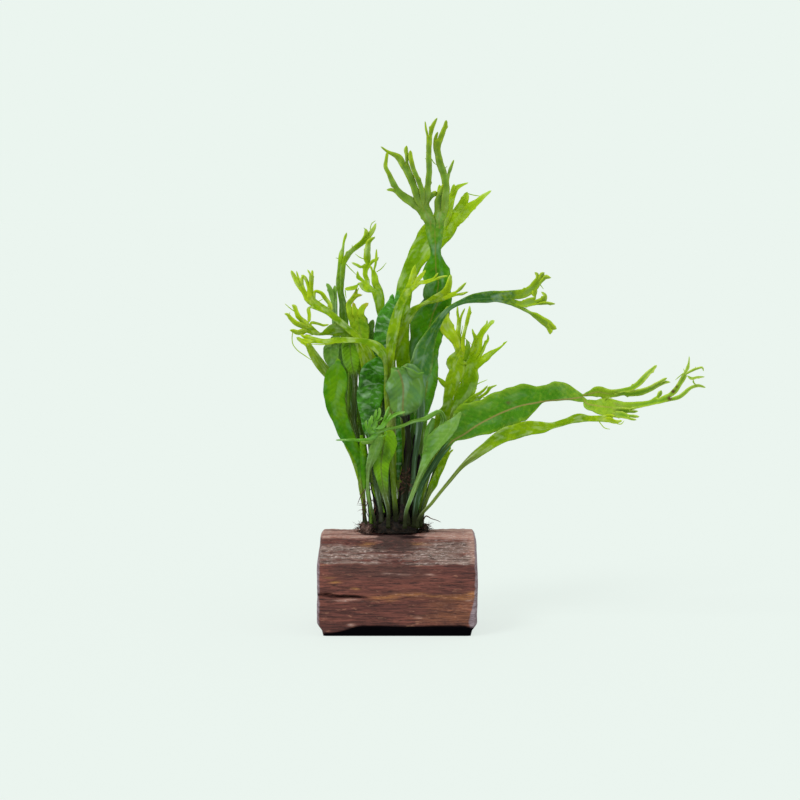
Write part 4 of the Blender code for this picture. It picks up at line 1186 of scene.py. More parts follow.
    def build(self, name: str) -> bpy.types.Object:
        """Builds the frond's mesh.

        Args:
            name: the CAD node that it stands for.

        Returns:
            The finished leaf, closed all round.
        """
        rng = random.Random(name)
        columns = max(self.least_columns, sum(strap_parts.columns() for strap_parts in self.crest))
        counts = shared_columns(columns, self.crest)
        blade = self.lay_blade(rng, columns, counts)
        runs = [blade]
        column = 0
        for strap_parts, share in zip(self.crest, counts):
            runs += self.lay_strap(rng, strap_parts, blade, column, share)
            column += share
        runs += [self.lay_thread(rng, places, runs) for places in self.threads]
        leaf = join([run.sheet(f"{name}_leaf", self.spots) for run in runs], weld=1e-6)
        leaf.name = f"{name}_leaf"
        mesh = leaf.data
        thick = np.empty(len(mesh.vertices), np.float32)
        mesh.attributes["thickness"].data.foreach_get("value", thick)
        group = leaf.vertex_groups.new(name="thickness")
        for i, value in enumerate(thick):
            group.add((i,), float(value) / self.leaf_limit, "REPLACE")
        finish = LEAF_FINISHES[self.tone]
        for under in (False, True):
            mesh.materials.append(leaf_skin(finish, under))
        apply_modifier(
            leaf, "SOLIDIFY", thickness=self.leaf_limit * MM, offset=0.0, vertex_group="thickness",
            material_offset=1, material_offset_rim=0, use_even_offset=False
        )
        leaf.vertex_groups.clear()
        pick([leaf], leaf)
        bpy.ops.object.shade_smooth()
        return leaf


FRONDS: dict[str, Frond] = {
    "tall_frond": Frond(
        tone=Tone.DEEP, foot=(4.0, 0.8), depths=(1.0, 1.5, 1.0, -0.5, -1.5), roll=0.12, fold=0.12,
        blade=(
            (4.4, 52, 1.0), (5.6, 64, 1.1), (7.4, 75, 1.7), (9.6, 85, 3.0), (11.0, 93, 3.9),
            (9.9, 101, 5.2), (10.2, 108, 5.9, 5.7), (11.8, 114, 7.0, 6.0), (12.9, 118, 6.8, 6.1),
            (14.3, 121.4, 5.5), (15.2, 123.8, 4.9), (14.7, 126.3, 5.4), (15.1, 130, 4.9), (14.3, 134, 5.1),
            (14.1, 136.3, 4.3, 4.5), (14.1, 138.4, 3.0, 3.3), (13.9, 141, 1.7, 2.2), (14.0, 144, 2.2),
            (13.8, 147.2, 2.9), (13.7, 150.2, 3.4),
        ),
        crest=(
            strap(
                -0.8, ((12.1, 152.5, 1.9), (10.8, 155.3, 2.1), (9.2, 158.3, 2.7)),
                strap(
                    -1.0, ((5.5, 160.0, 1.55), (2.5, 162.0, 1.35), (-0.3, 164.5, 1.15)),
                    strap(-0.5, ((-2.0, 164.7, 0.5), (-4.3, 164.7, 0.1))),
                    strap(
                        0.8,
                        ((-1.8, 167.3, 0.95), (-3.2, 170.4, 0.75), (-4.6, 173.5, 0.62), (-4.3, 176.2, 0.5),
                         (-3.9, 178.7, 0.42)),
                    ),
                ),
                strap(
                    0.5, ((7.0, 163.0, 1.2), (5.8, 166.5, 1.15), (4.1, 170.6, 1.2), (2.5, 173.9, 1.5)),
                    strap(
                        -1.0,
                        ((0.6, 176.4, 1.15), (-1.2, 177.7, 0.8), (-3.6, 178.8, 0.45), (-6.4, 180.8, 0.08)),
                    ),
                    strap(0.5, ((3.3, 177.6, 0.55), (3.0, 179.5, 0.6), (3.3, 181.2, 0.15))),
                ),
                strap(
                    -0.8,
                    ((8.9, 164.6, 0.85), (7.2, 169.2, 0.72), (5.6, 173.0, 0.72), (4.8, 176.6, 0.7),
                     (4.6, 179.4, 0.4)),
                ),
                strap(
                    -1.6,
                    ((10.9, 163.6, 1.3), (11.3, 167.5, 0.9), (11.7, 172.0, 0.95), (11.5, 177.0, 0.85),
                     (11.6, 181.0, 0.85), (11.7, 184.6, 0.95)),
                    strap(0.5, ((10.5, 187.0, 0.28), (10.1, 190.2, 0.06))),
                    strap(-0.8, ((12.6, 187.4, 0.7), (13.5, 189.4, 0.5), (14.7, 191.4, 0.1))),
                ),
                strap(1.2, ((12.6, 162.6, 0.8), (14.0, 163.4, 0.9), (15.0, 163.5, 0.45))),
            ),
            strap(
                1.0, ((15.4, 153.0, 1.7), (16.0, 156.5, 2.3)),
                strap(-1.5, ((15.2, 160.0, 1.4), (15.9, 163.4, 0.95), (16.9, 167.0, 0.12))),
                strap(
                    1.2, ((17.6, 160.6, 1.25), (18.0, 164.5, 1.15), (17.7, 168.0, 1.3), (17.6, 170.4, 1.6)),
                    strap(
                        -1.0,
                        ((16.0, 173.6, 1.25), (15.0, 177.6, 1.1), (14.6, 180.6, 1.25), (15.0, 183.2, 1.6)),
                        strap(0.3, ((14.3, 184.8, 0.4), (14.9, 186.3, 0.1))),
                        strap(-0.5, ((16.8, 186.3, 0.75), (17.7, 188.7, 0.6), (18.0, 190.6, 0.3))),
                    ),
                    strap(0.5, ((19.6, 172.6, 0.5), (20.9, 175.9, 0.1))),
                ),
            ),
        ),
        threads=(
            ((12.5, 176.2), (13.4, 174.8), (14.4, 174.0)), ((10.8, 176.2), (10.1, 176.3)),
            ((10.9, 178.3), (10.4, 178.7)), ((17.4, 172.6), (18.4, 173.5)),
        ),
    ),
    "tall_back_frond": Frond(
        tone=Tone.BACKLIT, foot=(1.2, 4.2), depths=(6.0, 8.0, 9.0, 10.0, 10.5), roll=-0.2, fold=0.15,
        blade=(
            (1.5, 56, 0.9), (2.0, 75, 1.1), (2.0, 92, 1.8), (1.6, 105, 2.6), (1.6, 116, 2.8),
            (2.4, 127, 3.0), (4.9, 135.0, 3.2, 3.0), (9.2, 141.6, 4.7, 3.7), (13.8, 146.5, 6.8, 4.4),
            (17.3, 150.2, 6.2, 4.2),
        ),
        crest=(
            strap(0.0, ((15.2, 156.0, 1.7), (15.3, 162.0, 1.0), (15.6, 166.7, 0.3))),
            strap(
                -1.0, ((18.6, 154.5, 1.1), (19.4, 158.5, 1.15), (20.2, 162.0, 1.05)),
                strap(0.5, ((20.6, 165.0, 0.6), (21.0, 166.9, 0.25))),
                strap(-0.5, ((22.0, 165.5, 0.7), (23.9, 166.5, 0.35), (26.3, 167.4, 0.06))),
            ),
            strap(
                0.5, ((20.8, 153.0, 2.3), (23.0, 155.6, 2.8)),
                strap(1.0, ((24.4, 160.0, 1.5), (25.9, 164.0, 0.55))),
                strap(
                    -0.6, ((26.6, 158.0, 1.6), (29.6, 160.4, 1.0), (32.6, 162.9, 0.6), (34.8, 164.5, 0.12)),
                ),
            ),
        ),
        threads=(
            ((25.8, 163.4), (28.5, 162.7), (31.0, 162.4)), ((25.3, 155.2), (26.4, 154.5)),
            ((29.0, 160.8), (30.3, 162.2)),
        ),
    ),
    "light_centre_frond": Frond(
        tone=Tone.YELLOW, foot=(-1.2, -0.6), depths=(-3.0, -6.0, -8.0), roll=-0.25, fold=0.2,
        bare=(0.9, 1.5),
        blade=(
            (-1.3, 46, 0.75), (-1.2, 56, 0.75), (-1.6, 74, 0.9), (-2.6, 92, 1.2), (-2.9, 103, 1.7),
            (-1.8, 111.5, 2.1), (-0.4, 118, 1.8), (1.6, 123.4, 1.5), (3.7, 127.0, 1.5), (5.4, 129.4, 2.0),
        ),
        crest=(
            strap(1.0, ((5.5, 131.6, 1.3), (5.9, 134.4, 0.8), (6.5, 136.8, 0.12))),
            strap(-1.0, ((7.3, 131.2, 0.7), (8.9, 133.0, 0.6), (10.4, 134.9, 0.1))),
            strap(
                -1.0, ((8.0, 130.1, 0.6), (10.4, 130.5, 0.6), (13.2, 131.4, 0.5)),
                strap(-0.5, ((15.0, 133.9, 0.12),)), strap(0.3, ((16.0, 132.2, 0.3), (18.8, 132.7, 0.06))),
            ),
        ),
    ),
    "crossing_frond": Frond(
        tone=Tone.YELLOW, foot=(1.6, -1.8), depths=(-3.0, -3.0, -4.2, -6.0), roll=0.5, fold=0.1,
        bare=(0.9, 1.5),
        blade=(
            (1.2, 46, 1.0), (0.2, 62, 1.1), (-2.0, 82, 1.3), (-3.0, 99, 1.7), (-1.6, 105, 1.8),
            (0.4, 111, 1.9), (3.2, 116, 1.7), (6.0, 120, 1.3), (9.0, 122, 0.6), (11.0, 122.9, 0.8),
            (13.4, 123.9, 1.4), (16.2, 125.0, 1.8),
        ),
        crest=(
            strap(0.5, ((18.2, 127.2, 1.2), (19.1, 129.8, 0.95), (19.8, 133.2, 0.25))),
            strap(
                -1.0, ((19.6, 125.4, 0.85), (21.8, 126.2, 0.85)),
                strap(-0.3, ((23.4, 128.0, 0.45), (25.6, 130.3, 0.08))),
                strap(0.3, ((24.0, 125.8, 0.25), (26.4, 126.8, 0.05))),
            ),
        ),
    ),
    "arching_frond": Frond(
        tone=Tone.SILVERY, foot=(1.0, -4.4), depths=(-5.5, -6.5, -7.5, -9.0, -10.0), roll=0.9, fold=0.05,
        blade=(
            (3.4, 47, 0.9), (5.4, 54, 0.9), (6.2, 63, 0.9), (7.6, 73, 1.0), (8.6, 84, 1.6), (8.0, 93, 2.8),
            (8.8, 99, 4.3), (9.9, 104.5, 3.6), (12.4, 110.5, 2.3), (15.6, 116.2, 1.3), (19.6, 120.8, 0.8),
            (24.0, 123.0, 1.0, 0.9), (28.0, 124.1, 1.7, 1.5), (33.0, 124.5, 2.4, 1.8),
            (36.0, 124.6, 2.4, 1.6), (39.0, 124.5, 2.6, 1.9), (42.5, 124.3, 3.0, 2.6),
        ),
        crest=(
            strap(
                1.0, ((46.2, 125.9, 1.6), (49.0, 127.1, 1.5), (50.9, 128.7, 1.5), (52.7, 131.0, 1.35)),
                strap(-0.5, ((52.0, 133.2, 0.5), (51.0, 134.1, 0.08))),
                strap(-0.3, ((53.9, 133.2, 0.7), (54.8, 134.0, 0.15))),
                strap(-1.0, ((55.2, 132.2, 0.6), (57.3, 132.0, 0.06))),
            ),
            strap(
                -1.0, ((46.6, 122.2, 0.95), (49.2, 122.9, 1.5), (51.4, 123.3, 1.4)),
                strap(0.6, ((50.9, 125.6, 0.9), (51.4, 128.0, 0.8))),
                strap(-0.5, ((54.4, 123.9, 1.1), (55.0, 125.2, 0.6), (53.6, 126.8, 0.12))),
                strap(0.0, ((55.0, 122.6, 0.45), (58.9, 122.2, 0.06))),
            ),
            strap(
                -2.5,
                ((47.2, 120.2, 0.45), (49.2, 119.1, 0.4), (51.4, 117.9, 0.9), (54.2, 116.1, 1.2),
                 (56.2, 114.7, 1.4)),
                strap(-0.3, ((58.0, 113.6, 0.8), (59.4, 112.8, 0.45))),
                strap(-0.6, ((56.9, 112.6, 0.85), (57.0, 110.8, 0.6))),
            ),
        ),
        threads=(((53.2, 129.4), (54.4, 127.8)), ((22.4, 126.0), (25.8, 126.8))),
    ),
    "long_right_frond": Frond(
        spots=(
            (41.8, 85.4, 0.7), (66.6, 91.0, 0.7), (103.2, 89.5, 0.8), (104.4, 91.2, 0.55),
            (101.9, 86.8, 0.9),
        ),
        tone=Tone.LONG, foot=(6.2, -4.6), depths=(-6.5, -9.0, -11.0, -13.0, -14.0, -15.0), roll=0.12,
        fold=0.12,
        blade=(
            (9.0, 54, 1.0), (13.0, 61, 1.1), (17.8, 68, 1.4), (21.0, 71.2, 3.0, 0.8),
            (24.6, 73.2, 8.0, 2.2), (29.2, 76.4, 9.4, 4.0), (34.4, 79.3, 7.9, 5.8), (40.2, 82.0, 7.9, 6.0),
            (46.4, 84.2, 7.8, 6.0), (50.6, 85.0, 7.1, 3.4), (54.0, 85.6, 6.0, 0.6), (60.0, 86.3, 6.7, 0.5),
            (64.6, 86.7, 5.6, 0.6), (67.6, 87.1, 2.8, 1.6), (69.4, 87.3, 1.1, 1.9),
        ),
        crest=(
            strap(
                1.5, ((71.6, 88.6, 0.85), (75.0, 89.3, 1.9), (78.6, 88.7, 1.6), (81.2, 88.7, 1.3)),
                strap(
                    -1.5,
                    ((84.6, 90.0, 0.6), (87.4, 90.6, 0.75), (90.4, 92.6, 0.95), (93.4, 95.9, 0.85),
                     (97.0, 99.3, 0.3)),
                ),
                strap(
                    -2.0,
                    ((84.4, 88.7, 0.6), (87.4, 88.6, 0.9), (90.6, 89.1, 1.1), (94.2, 90.3, 0.95),
                     (98.0, 92.4, 0.85)),
                    strap(0.3, ((99.6, 93.8, 0.45), (100.9, 94.6, 0.12))),
                    strap(-0.3, ((100.4, 92.9, 0.45), (102.2, 92.9, 0.08))),
                ),
            ),
            strap(
                -1.5, ((70.6, 84.9, 1.6), (73.6, 84.1, 2.1), (77.0, 83.6, 3.1), (80.6, 83.2, 3.2)),
                strap(
                    -3.0,
                    ((84.4, 83.7, 1.7), (87.4, 84.1, 1.3), (91.0, 84.5, 1.0), (94.4, 85.1, 0.9),
                     (97.4, 86.2, 1.3)),
                    strap(1.0, ((98.2, 88.6, 0.75), (98.8, 89.9, 0.25))),
                    strap(
                        -0.5, ((99.6, 86.5, 1.15), (101.8, 87.2, 1.35)),
                        strap(
                            -2.0, ((103.8, 89.6, 0.9), (105.8, 92.6, 0.8), (107.6, 95.6, 0.8)),
                            strap(1.0, ((108.5, 98.2, 0.5), (109.0, 100.4, 0.2), (109.1, 102.7, 0.05))),
                            strap(
                                -1.0,
                                ((110.2, 97.3, 0.35), (112.4, 98.1, 0.3), (114.0, 98.4, 0.25),
                                 (114.6, 97.0, 0.06)),
                            ),
                            strap(-1.0, ((110.0, 94.3, 0.4), (112.4, 94.8, 0.25), (115.0, 94.9, 0.05))),
                        ),
                        strap(
                            -1.0,
                            ((105.4, 87.3, 0.65), (107.6, 89.0, 0.65), (110.0, 90.9, 0.5),
                             (112.6, 91.6, 0.45), (115.4, 90.9, 0.12)),
                        ),
                    ),
                ),
                strap(
                    -1.0, ((84.4, 82.3, 0.95), (87.0, 82.3, 0.75)),
                    strap(0.3, ((88.6, 83.1, 0.4), (90.0, 83.5, 0.1))),
                    strap(-0.3, ((88.6, 81.8, 0.4), (90.2, 82.0, 0.1))),
                ),
                strap(
                    -1.5, ((83.6, 80.7, 1.1), (86.4, 80.0, 0.8)),
                    strap(0.2, ((88.6, 80.1, 0.5), (90.7, 79.9, 0.15))),
                    strap(-0.4, ((87.8, 79.0, 0.35), (89.6, 78.7, 0.08))),
                ),
            ),
        ),
        threads=(
            ((107.0, 96.3), (105.4, 95.0), (104.0, 93.7)), ((110.6, 93.9), (111.1, 92.6), (112.3, 91.7)),
            ((107.4, 96.8), (107.0, 98.0)), ((111.3, 97.8), (111.5, 98.7)), ((110.5, 93.2), (111.3, 91.8)),
            ((77.6, 85.6), (78.2, 87.2), (80.0, 87.0)),
        ),
    ),
    "low_right_frond": Frond(
        tone=Tone.YELLOW, foot=(7.4, -7.2), depths=(-9.0, -12.0, -15.0, -18.0, -20.0), roll=0.2, fold=0.15,
        blade=(
            (13.2, 47.8, 0.6), (19.2, 55.3, 0.65), (25.0, 62.0, 0.9), (28.6, 65.0, 1.5), (33.4, 68.6, 1.9),
            (37.9, 71.9, 2.5), (43.1, 74.0, 2.8), (48.8, 75.6, 2.7), (54.0, 75.8, 2.2), (58.4, 76.7, 1.2),
            (63.0, 78.0, 1.2), (67.6, 79.4, 1.7), (72.4, 79.2, 1.1), (76.4, 79.2, 1.2),
        ),
        crest=(
            strap(0.5, ((79.0, 80.0, 0.8), (81.4, 80.2, 0.3))),
            strap(-0.5, ((79.2, 78.8, 0.9), (81.6, 78.0, 0.6), (84.2, 78.4, 0.2))),
        ),
        threads=(
            ((81.4, 78.4), (82.2, 77.4), (83.8, 77.2), (84.9, 78.4)),
            ((75.2, 78.6), (76.2, 77.2), (77.6, 75.7), (79.6, 75.2)),
        ),
    ),
    "small_yellow_frond": Frond(
        tone=Tone.YELLOW, foot=(8.6, -2.6), depths=(-3.0, -3.5), roll=-0.3, fold=0.1, bare=(0.9, 1.4),
        blade=(
            (10.3, 47.0, 0.6), (11.8, 51.0, 0.8), (13.5, 54.8, 1.5), (14.6, 57.5, 1.3), (16.2, 61.0, 1.3),
            (17.8, 64.4, 1.1), (19.0, 66.4, 0.8),
        ),
        crest=(strap(0.3, ((19.8, 68.6, 0.35),)), strap(-0.3, ((20.8, 67.6, 0.25),))),
    ),
    "broad_pale_frond": Frond(
        tone=Tone.PALE, foot=(2.6, -7.4), depths=(-9.5, -12.0, -15.0), roll=-0.2, fold=0.1,
        blade=(
            (3.1, 44.1, 0.7), (4.8, 48.9, 0.8), (6.9, 54.4, 0.9), (8.9, 59.0, 1.3, 0.8),
            (11.2, 63.3, 2.6, 0.9), (13.6, 67.0, 4.2, 1.1), (16.4, 70.6, 5.2, 1.4), (18.9, 73.9, 4.4, 1.9),
            (20.9, 76.9, 2.8, 1.8), (22.3, 79.3, 1.3, 1.1),
        ),
        crest=(strap(-0.3, ((23.7, 81.8, 0.2),)),),
        threads=(((10.6, 67.0, 0.9), (11.2, 72.0, 1.5), (12.2, 76.0, 1.4), (13.4, 79.4, 0.6)),),
    ),
    "yellow_right_frond": Frond(
        tone=Tone.YELLOW, foot=(7.0, 1.8), depths=(2.0, 2.0, 1.0, 0.0), roll=0.3, fold=0.15,
        blade=(
            (9.0, 56, 0.9), (11.6, 68, 1.0), (14.2, 73.0, 1.2), (15.8, 77.0, 2.2), (16.9, 80.2, 2.7),
            (18.5, 83.7, 1.7), (19.0, 87.6, 1.95), (20.4, 94, 2.3, 3.4), (21.2, 97.4, 2.0, 4.2),
            (21.0, 100.0, 3.0, 4.8), (22.8, 103.6, 1.6, 3.2),
        ),
        crest=(
            strap(
                -1.5,
                ((22.2, 106.3, 1.2), (20.6, 109.8, 1.7), (18.4, 113.2, 2.6), (17.6, 117.0, 1.6),
                 (18.6, 121.4, 0.3)),
            ),
            strap(
                0.5, ((23.1, 107.6, 1.2), (22.6, 111.0, 0.7), (22.8, 114.5, 0.65), (23.0, 116.6, 0.7)),
                strap(0.5, ((22.3, 119.0, 0.28), (22.3, 121.4, 0.08))),
                strap(-0.5, ((24.0, 118.3, 0.3), (25.1, 120.7, 0.08))),
            ),
            strap(
                1.0,
                ((24.3, 107.8, 0.6), (25.2, 112.6, 0.45), (26.0, 116.0, 0.55), (26.7, 119.0, 0.5),
                 (26.9, 121.6, 0.08)),
            ),
        ),
        threads=(
            ((25.0, 109.5), (27.7, 107.0)), ((26.8, 118.8), (27.6, 119.1)), ((23.7, 111.0), (24.3, 114.2)),
            ((18.4, 91.2, 1.0), (16.4, 93.2, 0.9), (14.8, 94.8, 0.2)),
            ((24.8, 101.0, 1.0), (25.7, 104.5, 1.3), (26.2, 107.0, 0.8), (25.7, 108.8, 0.2)),
        ),
    ),
    "yellow_right_back_frond": Frond(
        tone=Tone.BACKLIT, foot=(8.0, 4.6), depths=(6.0, 7.0, 7.0, 6.0), roll=-0.2, fold=0.15,
        blade=(
            (11.4, 58, 0.9), (15.8, 70, 1.0), (20.4, 80, 1.2), (24.6, 87.5, 3.4), (26.6, 92.0, 3.2),
            (26.8, 95.0, 3.5), (27.2, 98.4, 2.8), (29.0, 101.6, 3.6),
        ),
        crest=(
            strap(0.5, ((28.4, 105.6, 1.1), (29.2, 109.0, 0.8), (28.2, 111.5, 0.3), (27.8, 113.0, 0.06))),
            strap(
                -1.0, ((30.0, 106.0, 1.3), (30.5, 109.5, 1.1), (31.7, 111.8, 1.0), (33.6, 114.2, 0.8)),
                strap(0.3, ((33.4, 116.2, 0.12),)), strap(-0.3, ((35.0, 115.3, 0.6), (36.2, 116.0, 0.5))),
            ),
            strap(1.0, ((31.7, 104.8, 0.5), (32.6, 107.0, 0.4), (33.7, 108.8, 0.33), (33.6, 111.0, 0.06))),
            strap(
                -1.0,
                ((33.0, 102.2, 1.3), (35.0, 103.8, 0.9), (36.8, 104.9, 0.5), (38.5, 106.1, 0.25),
                 (41.0, 108.4, 0.05)),
            ),
        ),
        threads=(((28.6, 91.4), (30.6, 92.6), (33.5, 93.8)),),
    ),
    "right_behind_frond": Frond(
        tone=Tone.FRESH, foot=(9.0, 1.0), depths=(0.0, -2.5, -4.0), roll=0.2, fold=0.1,
        blade=((13.6, 58, 0.8), (18.0, 70, 1.0), (22.6, 78, 2.0), (26.6, 83.6, 2.6), (29.6, 87.2, 1.6)),
        crest=(
            strap(0.5, ((31.0, 89.0, 0.4), (32.5, 90.2, 0.3), (33.7, 91.7, 0.06))),
            strap(0.5, ((32.0, 88.0, 0.4), (33.4, 89.1, 0.4), (34.6, 90.6, 0.35), (37.2, 91.9, 0.06))),
        ),
        threads=(((31.0, 88.6), (31.6, 87.4), (33.0, 87.1)), ((28.0, 88.4), (29.6, 90.6))),
    ),
    "round_front_frond": Frond(
        tone=Tone.ROUND, foot=(3.4, -4.9), depths=(-6.5, -9.0, -13.0, -17.0), roll=0.1, fold=-0.15,
        bare=(2.2, 3.2),
        blade=(
            (2.4, 46, 1.3), (2.6, 52, 1.4), (2.9, 60, 1.1), (4.2, 69, 0.8), (3.6, 75.0, 0.9),
            (2.4, 79.6, 0.9), (2.0, 81.2, 2.6, 4.8), (1.8, 83, 4.4, 5.8), (1.9, 85.5, 5.2, 7.3),
            (2.0, 88.2, 5.8, 8.3), (1.9, 91.5, 6.5, 7.8), (1.3, 94.2, 5.9, 7.6), (0.6, 96.2, 4.6, 6.9),
            (-0.2, 97.5, 2.9, 4.6),
        ),
        crest=(
            strap(-0.8, ((-0.4, 98.1, 1.9), (-0.4, 98.4, 0.9))),
            strap(-0.8, ((7.4, 95.4, 0.9), (9.9, 96.6, 0.1))),
        ),
    ),
    "front_strap_frond": Frond(
        tone=Tone.BRIGHT, foot=(5.6, -1.6), depths=(-3.0, -4.0, -5.0, -7.5, -14.0, -18.5, -20.5), roll=-0.5,
        fold=0.1,
        blade=(
            (8.2, 54, 0.8), (12.0, 65, 0.9), (15.4, 74, 1.0), (17.0, 79.6, 0.9), (15.7, 81.8, 0.8),
            (13.5, 81.0, 0.8), (11.7, 79.9, 0.9), (10.0, 79.0, 0.8), (7.5, 78.6, 0.6), (5.0, 77.9, 0.55),
            (2.5, 76.8, 0.5), (0.0, 76.0, 0.45), (-4.0, 75.3, 0.5), (-6.4, 74.6, 1.1), (-8.0, 74.1, 1.7),
        ),
        crest=(
            strap(
                -1.5, ((-8.6, 72.4, 0.9), (-10.4, 71.5, 0.5)),
                strap(
                    -1.0,
                    ((-12.6, 71.3, 0.36), (-16.0, 71.2, 0.34), (-18.8, 71.2, 0.3), (-23.4, 71.1, 0.08)),
                ),
            ),
            strap(
                -0.5, ((-10.2, 74.3, 1.1), (-11.0, 75.6, 0.9)),
                strap(0.5, ((-12.0, 77.0, 0.4), (-11.8, 78.6, 0.12))),
                strap(-0.5, ((-10.5, 77.4, 0.6), (-9.9, 79.2, 0.45), (-9.7, 80.6, 0.12))),
            ),
            strap(
                0.4, ((-8.9, 76.0, 0.9), (-8.4, 78.2, 0.8)),
                strap(0.8, ((-8.6, 80.2, 0.4), (-8.0, 82.8, 0.12))),
                strap(-0.3, ((-7.4, 80.0, 0.5), (-6.9, 82.4, 0.35), (-7.1, 83.4, 0.1))),
                strap(-1.0, ((-6.6, 79.0, 0.35), (-5.6, 79.6, 0.1))),
            ),
            strap(
                0.5, ((-5.9, 76.2, 0.8), (-5.0, 77.7, 0.8)),
                strap(0.6, ((-4.6, 80.0, 0.45), (-4.0, 81.9, 0.4), (-3.2, 83.9, 0.12))),
                strap(0.0, ((-3.6, 79.6, 0.4), (-2.6, 81.4, 0.12))),
                strap(-0.3, ((-2.9, 79.5, 0.45), (-0.9, 80.8, 0.42), (2.7, 81.8, 0.25))),
            ),
        ),
        threads=(((-5.4, 75.0), (-4.2, 73.6), (-5.4, 72.6), (-6.6, 72.4)),),
    ),
    "small_front_frond": Frond(
        tone=Tone.PALE, foot=(-8.6, -4.8), depths=(-8.0, -11.0, -14.0), roll=0.2, fold=0.2,
        blade=(
            (-11.2, 50, 0.5), (-11.3, 57, 0.6), (-11.0, 60.5, 1.0), (-9.9, 64, 1.6), (-8.6, 67.5, 2.1),
            (-7.6, 70.6, 2.1), (-7.3, 72.4, 1.7),
        ),
        crest=(
            strap(-0.4, ((-9.4, 71.2, 0.6), (-12.2, 70.2, 0.6), (-14.0, 70.6, 0.2))),
            strap(0.3, ((-7.4, 73.8, 0.9),)),
        ),
    ),
    "lower_light_frond": Frond(
        tone=Tone.STREAKY, foot=(-3.6, -6.2), depths=(-8.0, -9.5, -11.0), roll=-0.2, fold=0.15,
        blade=(
            (-3.6, 44.0, 0.7), (-4.4, 48.5, 1.0), (-5.3, 53.0, 1.7), (-6.0, 57.5, 2.4), (-6.3, 62.0, 3.2),
            (-5.8, 66.0, 3.7, 4.2), (-5.2, 70.0, 3.8, 4.8), (-4.8, 72.8, 3.0, 4.2),
        ),
        crest=(strap(-0.5, ((-6.8, 74.6, 0.8),)), strap(0.5, ((-3.4, 75.0, 1.4),))),
    ),
    "broad_left_frond": Frond(
        tone=Tone.BROAD, foot=(-12.0, -2.6), depths=(-5.0, -8.0, -11.0, -13.0), roll=-0.15, fold=0.15,
        blade=(
            (-12.6, 43.5, 0.45), (-13.7, 50, 0.5), (-14.1, 54, 0.8), (-14.2, 57.5, 0.9, 1.8),
            (-14.2, 61.5, 1.2, 2.1), (-15.4, 65, 1.3, 2.2), (-17.6, 69.5, 1.9, 2.5),
            (-19.4, 73.7, 3.1, 2.7), (-20.9, 78, 3.3, 2.6), (-22.2, 81.5, 3.5, 3.0), (-22.9, 84, 4.1, 3.4),
            (-23.3, 88, 4.5, 3.6), (-22.9, 92, 4.9, 3.9), (-22.8, 95.5, 4.5, 3.6), (-22.6, 98, 3.2, 2.8),
            (-22.4, 99.7, 1.3),
        ),
        crest=(strap(-0.4, ((-22.5, 101.8, 0.4),)),),
        threads=(
            ((-13.8, 73.0, 0.5), (-13.2, 68.0, 1.2), (-12.9, 64.0, 1.3), (-12.6, 59.0, 1.3),
             (-12.6, 55.0, 0.8), (-12.8, 52.6, 0.3)),
        ),
    ),
    "yellow_left_frond": Frond(
        tone=Tone.YELLOW, foot=(-12.6, 0.2), depths=(-0.3, -0.8, -3.0, -5.0), roll=0.3, fold=0.1,
        blade=(
            (-13.4, 56, 0.7), (-15.2, 70, 0.9), (-19.6, 84, 1.2), (-24.6, 94.2, 1.8), (-28.4, 98.8, 1.9),
            (-31.4, 103.0, 1.7), (-33.4, 106.6, 1.1),
        ),
        crest=(
            strap(-1.0, ((-36.6, 108.9, 0.6), (-38.0, 109.7, 0.25))), strap(0.8, ((-33.6, 109.6, 0.6),)),
        ),
        threads=(
            ((-13.4, 52.0, 0.5), (-14.4, 57.0, 1.0), (-15.3, 61.5, 1.4), (-16.7, 65.6, 1.5),
             (-19.0, 70.2, 1.4), (-20.9, 75.0, 0.7)),
        ),
    ),
    "streaky_left_frond": Frond(
        tone=Tone.STREAKY, foot=(-9.8, -1.6), depths=(-2.6, -3.2, -2.0, -0.8), roll=-0.1, fold=0.2,
        blade=(
            (-10.2, 44, 0.5), (-10.8, 49, 0.5), (-11.5, 57, 0.55), (-14.4, 65.5, 0.6), (-15.0, 72, 0.65),
            (-16.3, 78, 0.75), (-16.3, 84, 0.9), (-16.1, 90, 0.9), (-16.2, 95, 1.2), (-16.8, 98, 2.2),
            (-17.4, 101, 3.2), (-17.7, 104, 3.4), (-17.9, 106.5, 3.2),
        ),
        crest=fan(-18.0, 107.0, -4.0, 4.0, 3, -0.5),
        threads=(
            ((-15.1, 74.5, 0.3), (-15.0, 77.0, 0.6), (-14.7, 79.6, 0.5), (-14.3, 81.8, 0.1)),
            ((-18.6, 74.0, 0.3), (-18.4, 82.0, 0.5), (-18.3, 90.0, 0.5), (-18.2, 97.0, 0.4)),
            ((-11.3, 60.0, 0.5), (-10.9, 52.0, 0.5), (-10.3, 45.0, 0.5), (-10.1, 39.5, 0.5)),
            ((-9.9, 54.6, 0.4), (-8.2, 50.4, 0.75), (-6.4, 46.4, 0.75), (-5.4, 43.6, 0.6)),
        ),
    ),
    "dark_glossy_frond": Frond(
        tone=Tone.GLOSSY, foot=(-6.2, -3.4), depths=(-5.5, -7.5, -9.0), roll=0.35, fold=0.2,
        blade=(
            (-7.4, 50, 0.9), (-8.8, 60, 1.0), (-10.0, 69, 1.1), (-10.4, 73, 1.6), (-10.9, 76, 2.4),
            (-11.0, 80, 3.1), (-10.7, 85, 4.5), (-10.0, 90, 5.2), (-9.4, 94.5, 4.9), (-8.6, 98, 4.2),
            (-7.6, 100.4, 2.2),
        ),
        crest=(strap(0.5, ((-6.8, 102.4, 0.9),)),),
    ),
    "glossy_centre_frond": Frond(
        tone=Tone.GLOSSY, foot=(-3.4, -2.4), depths=(-3.0, -2.5, -2.0), roll=-0.2, fold=0.2,
        blade=(
            (-3.8, 58, 0.8), (-4.6, 76, 0.9), (-5.2, 92, 1.6), (-5.6, 101, 3.0), (-5.4, 108, 3.8),
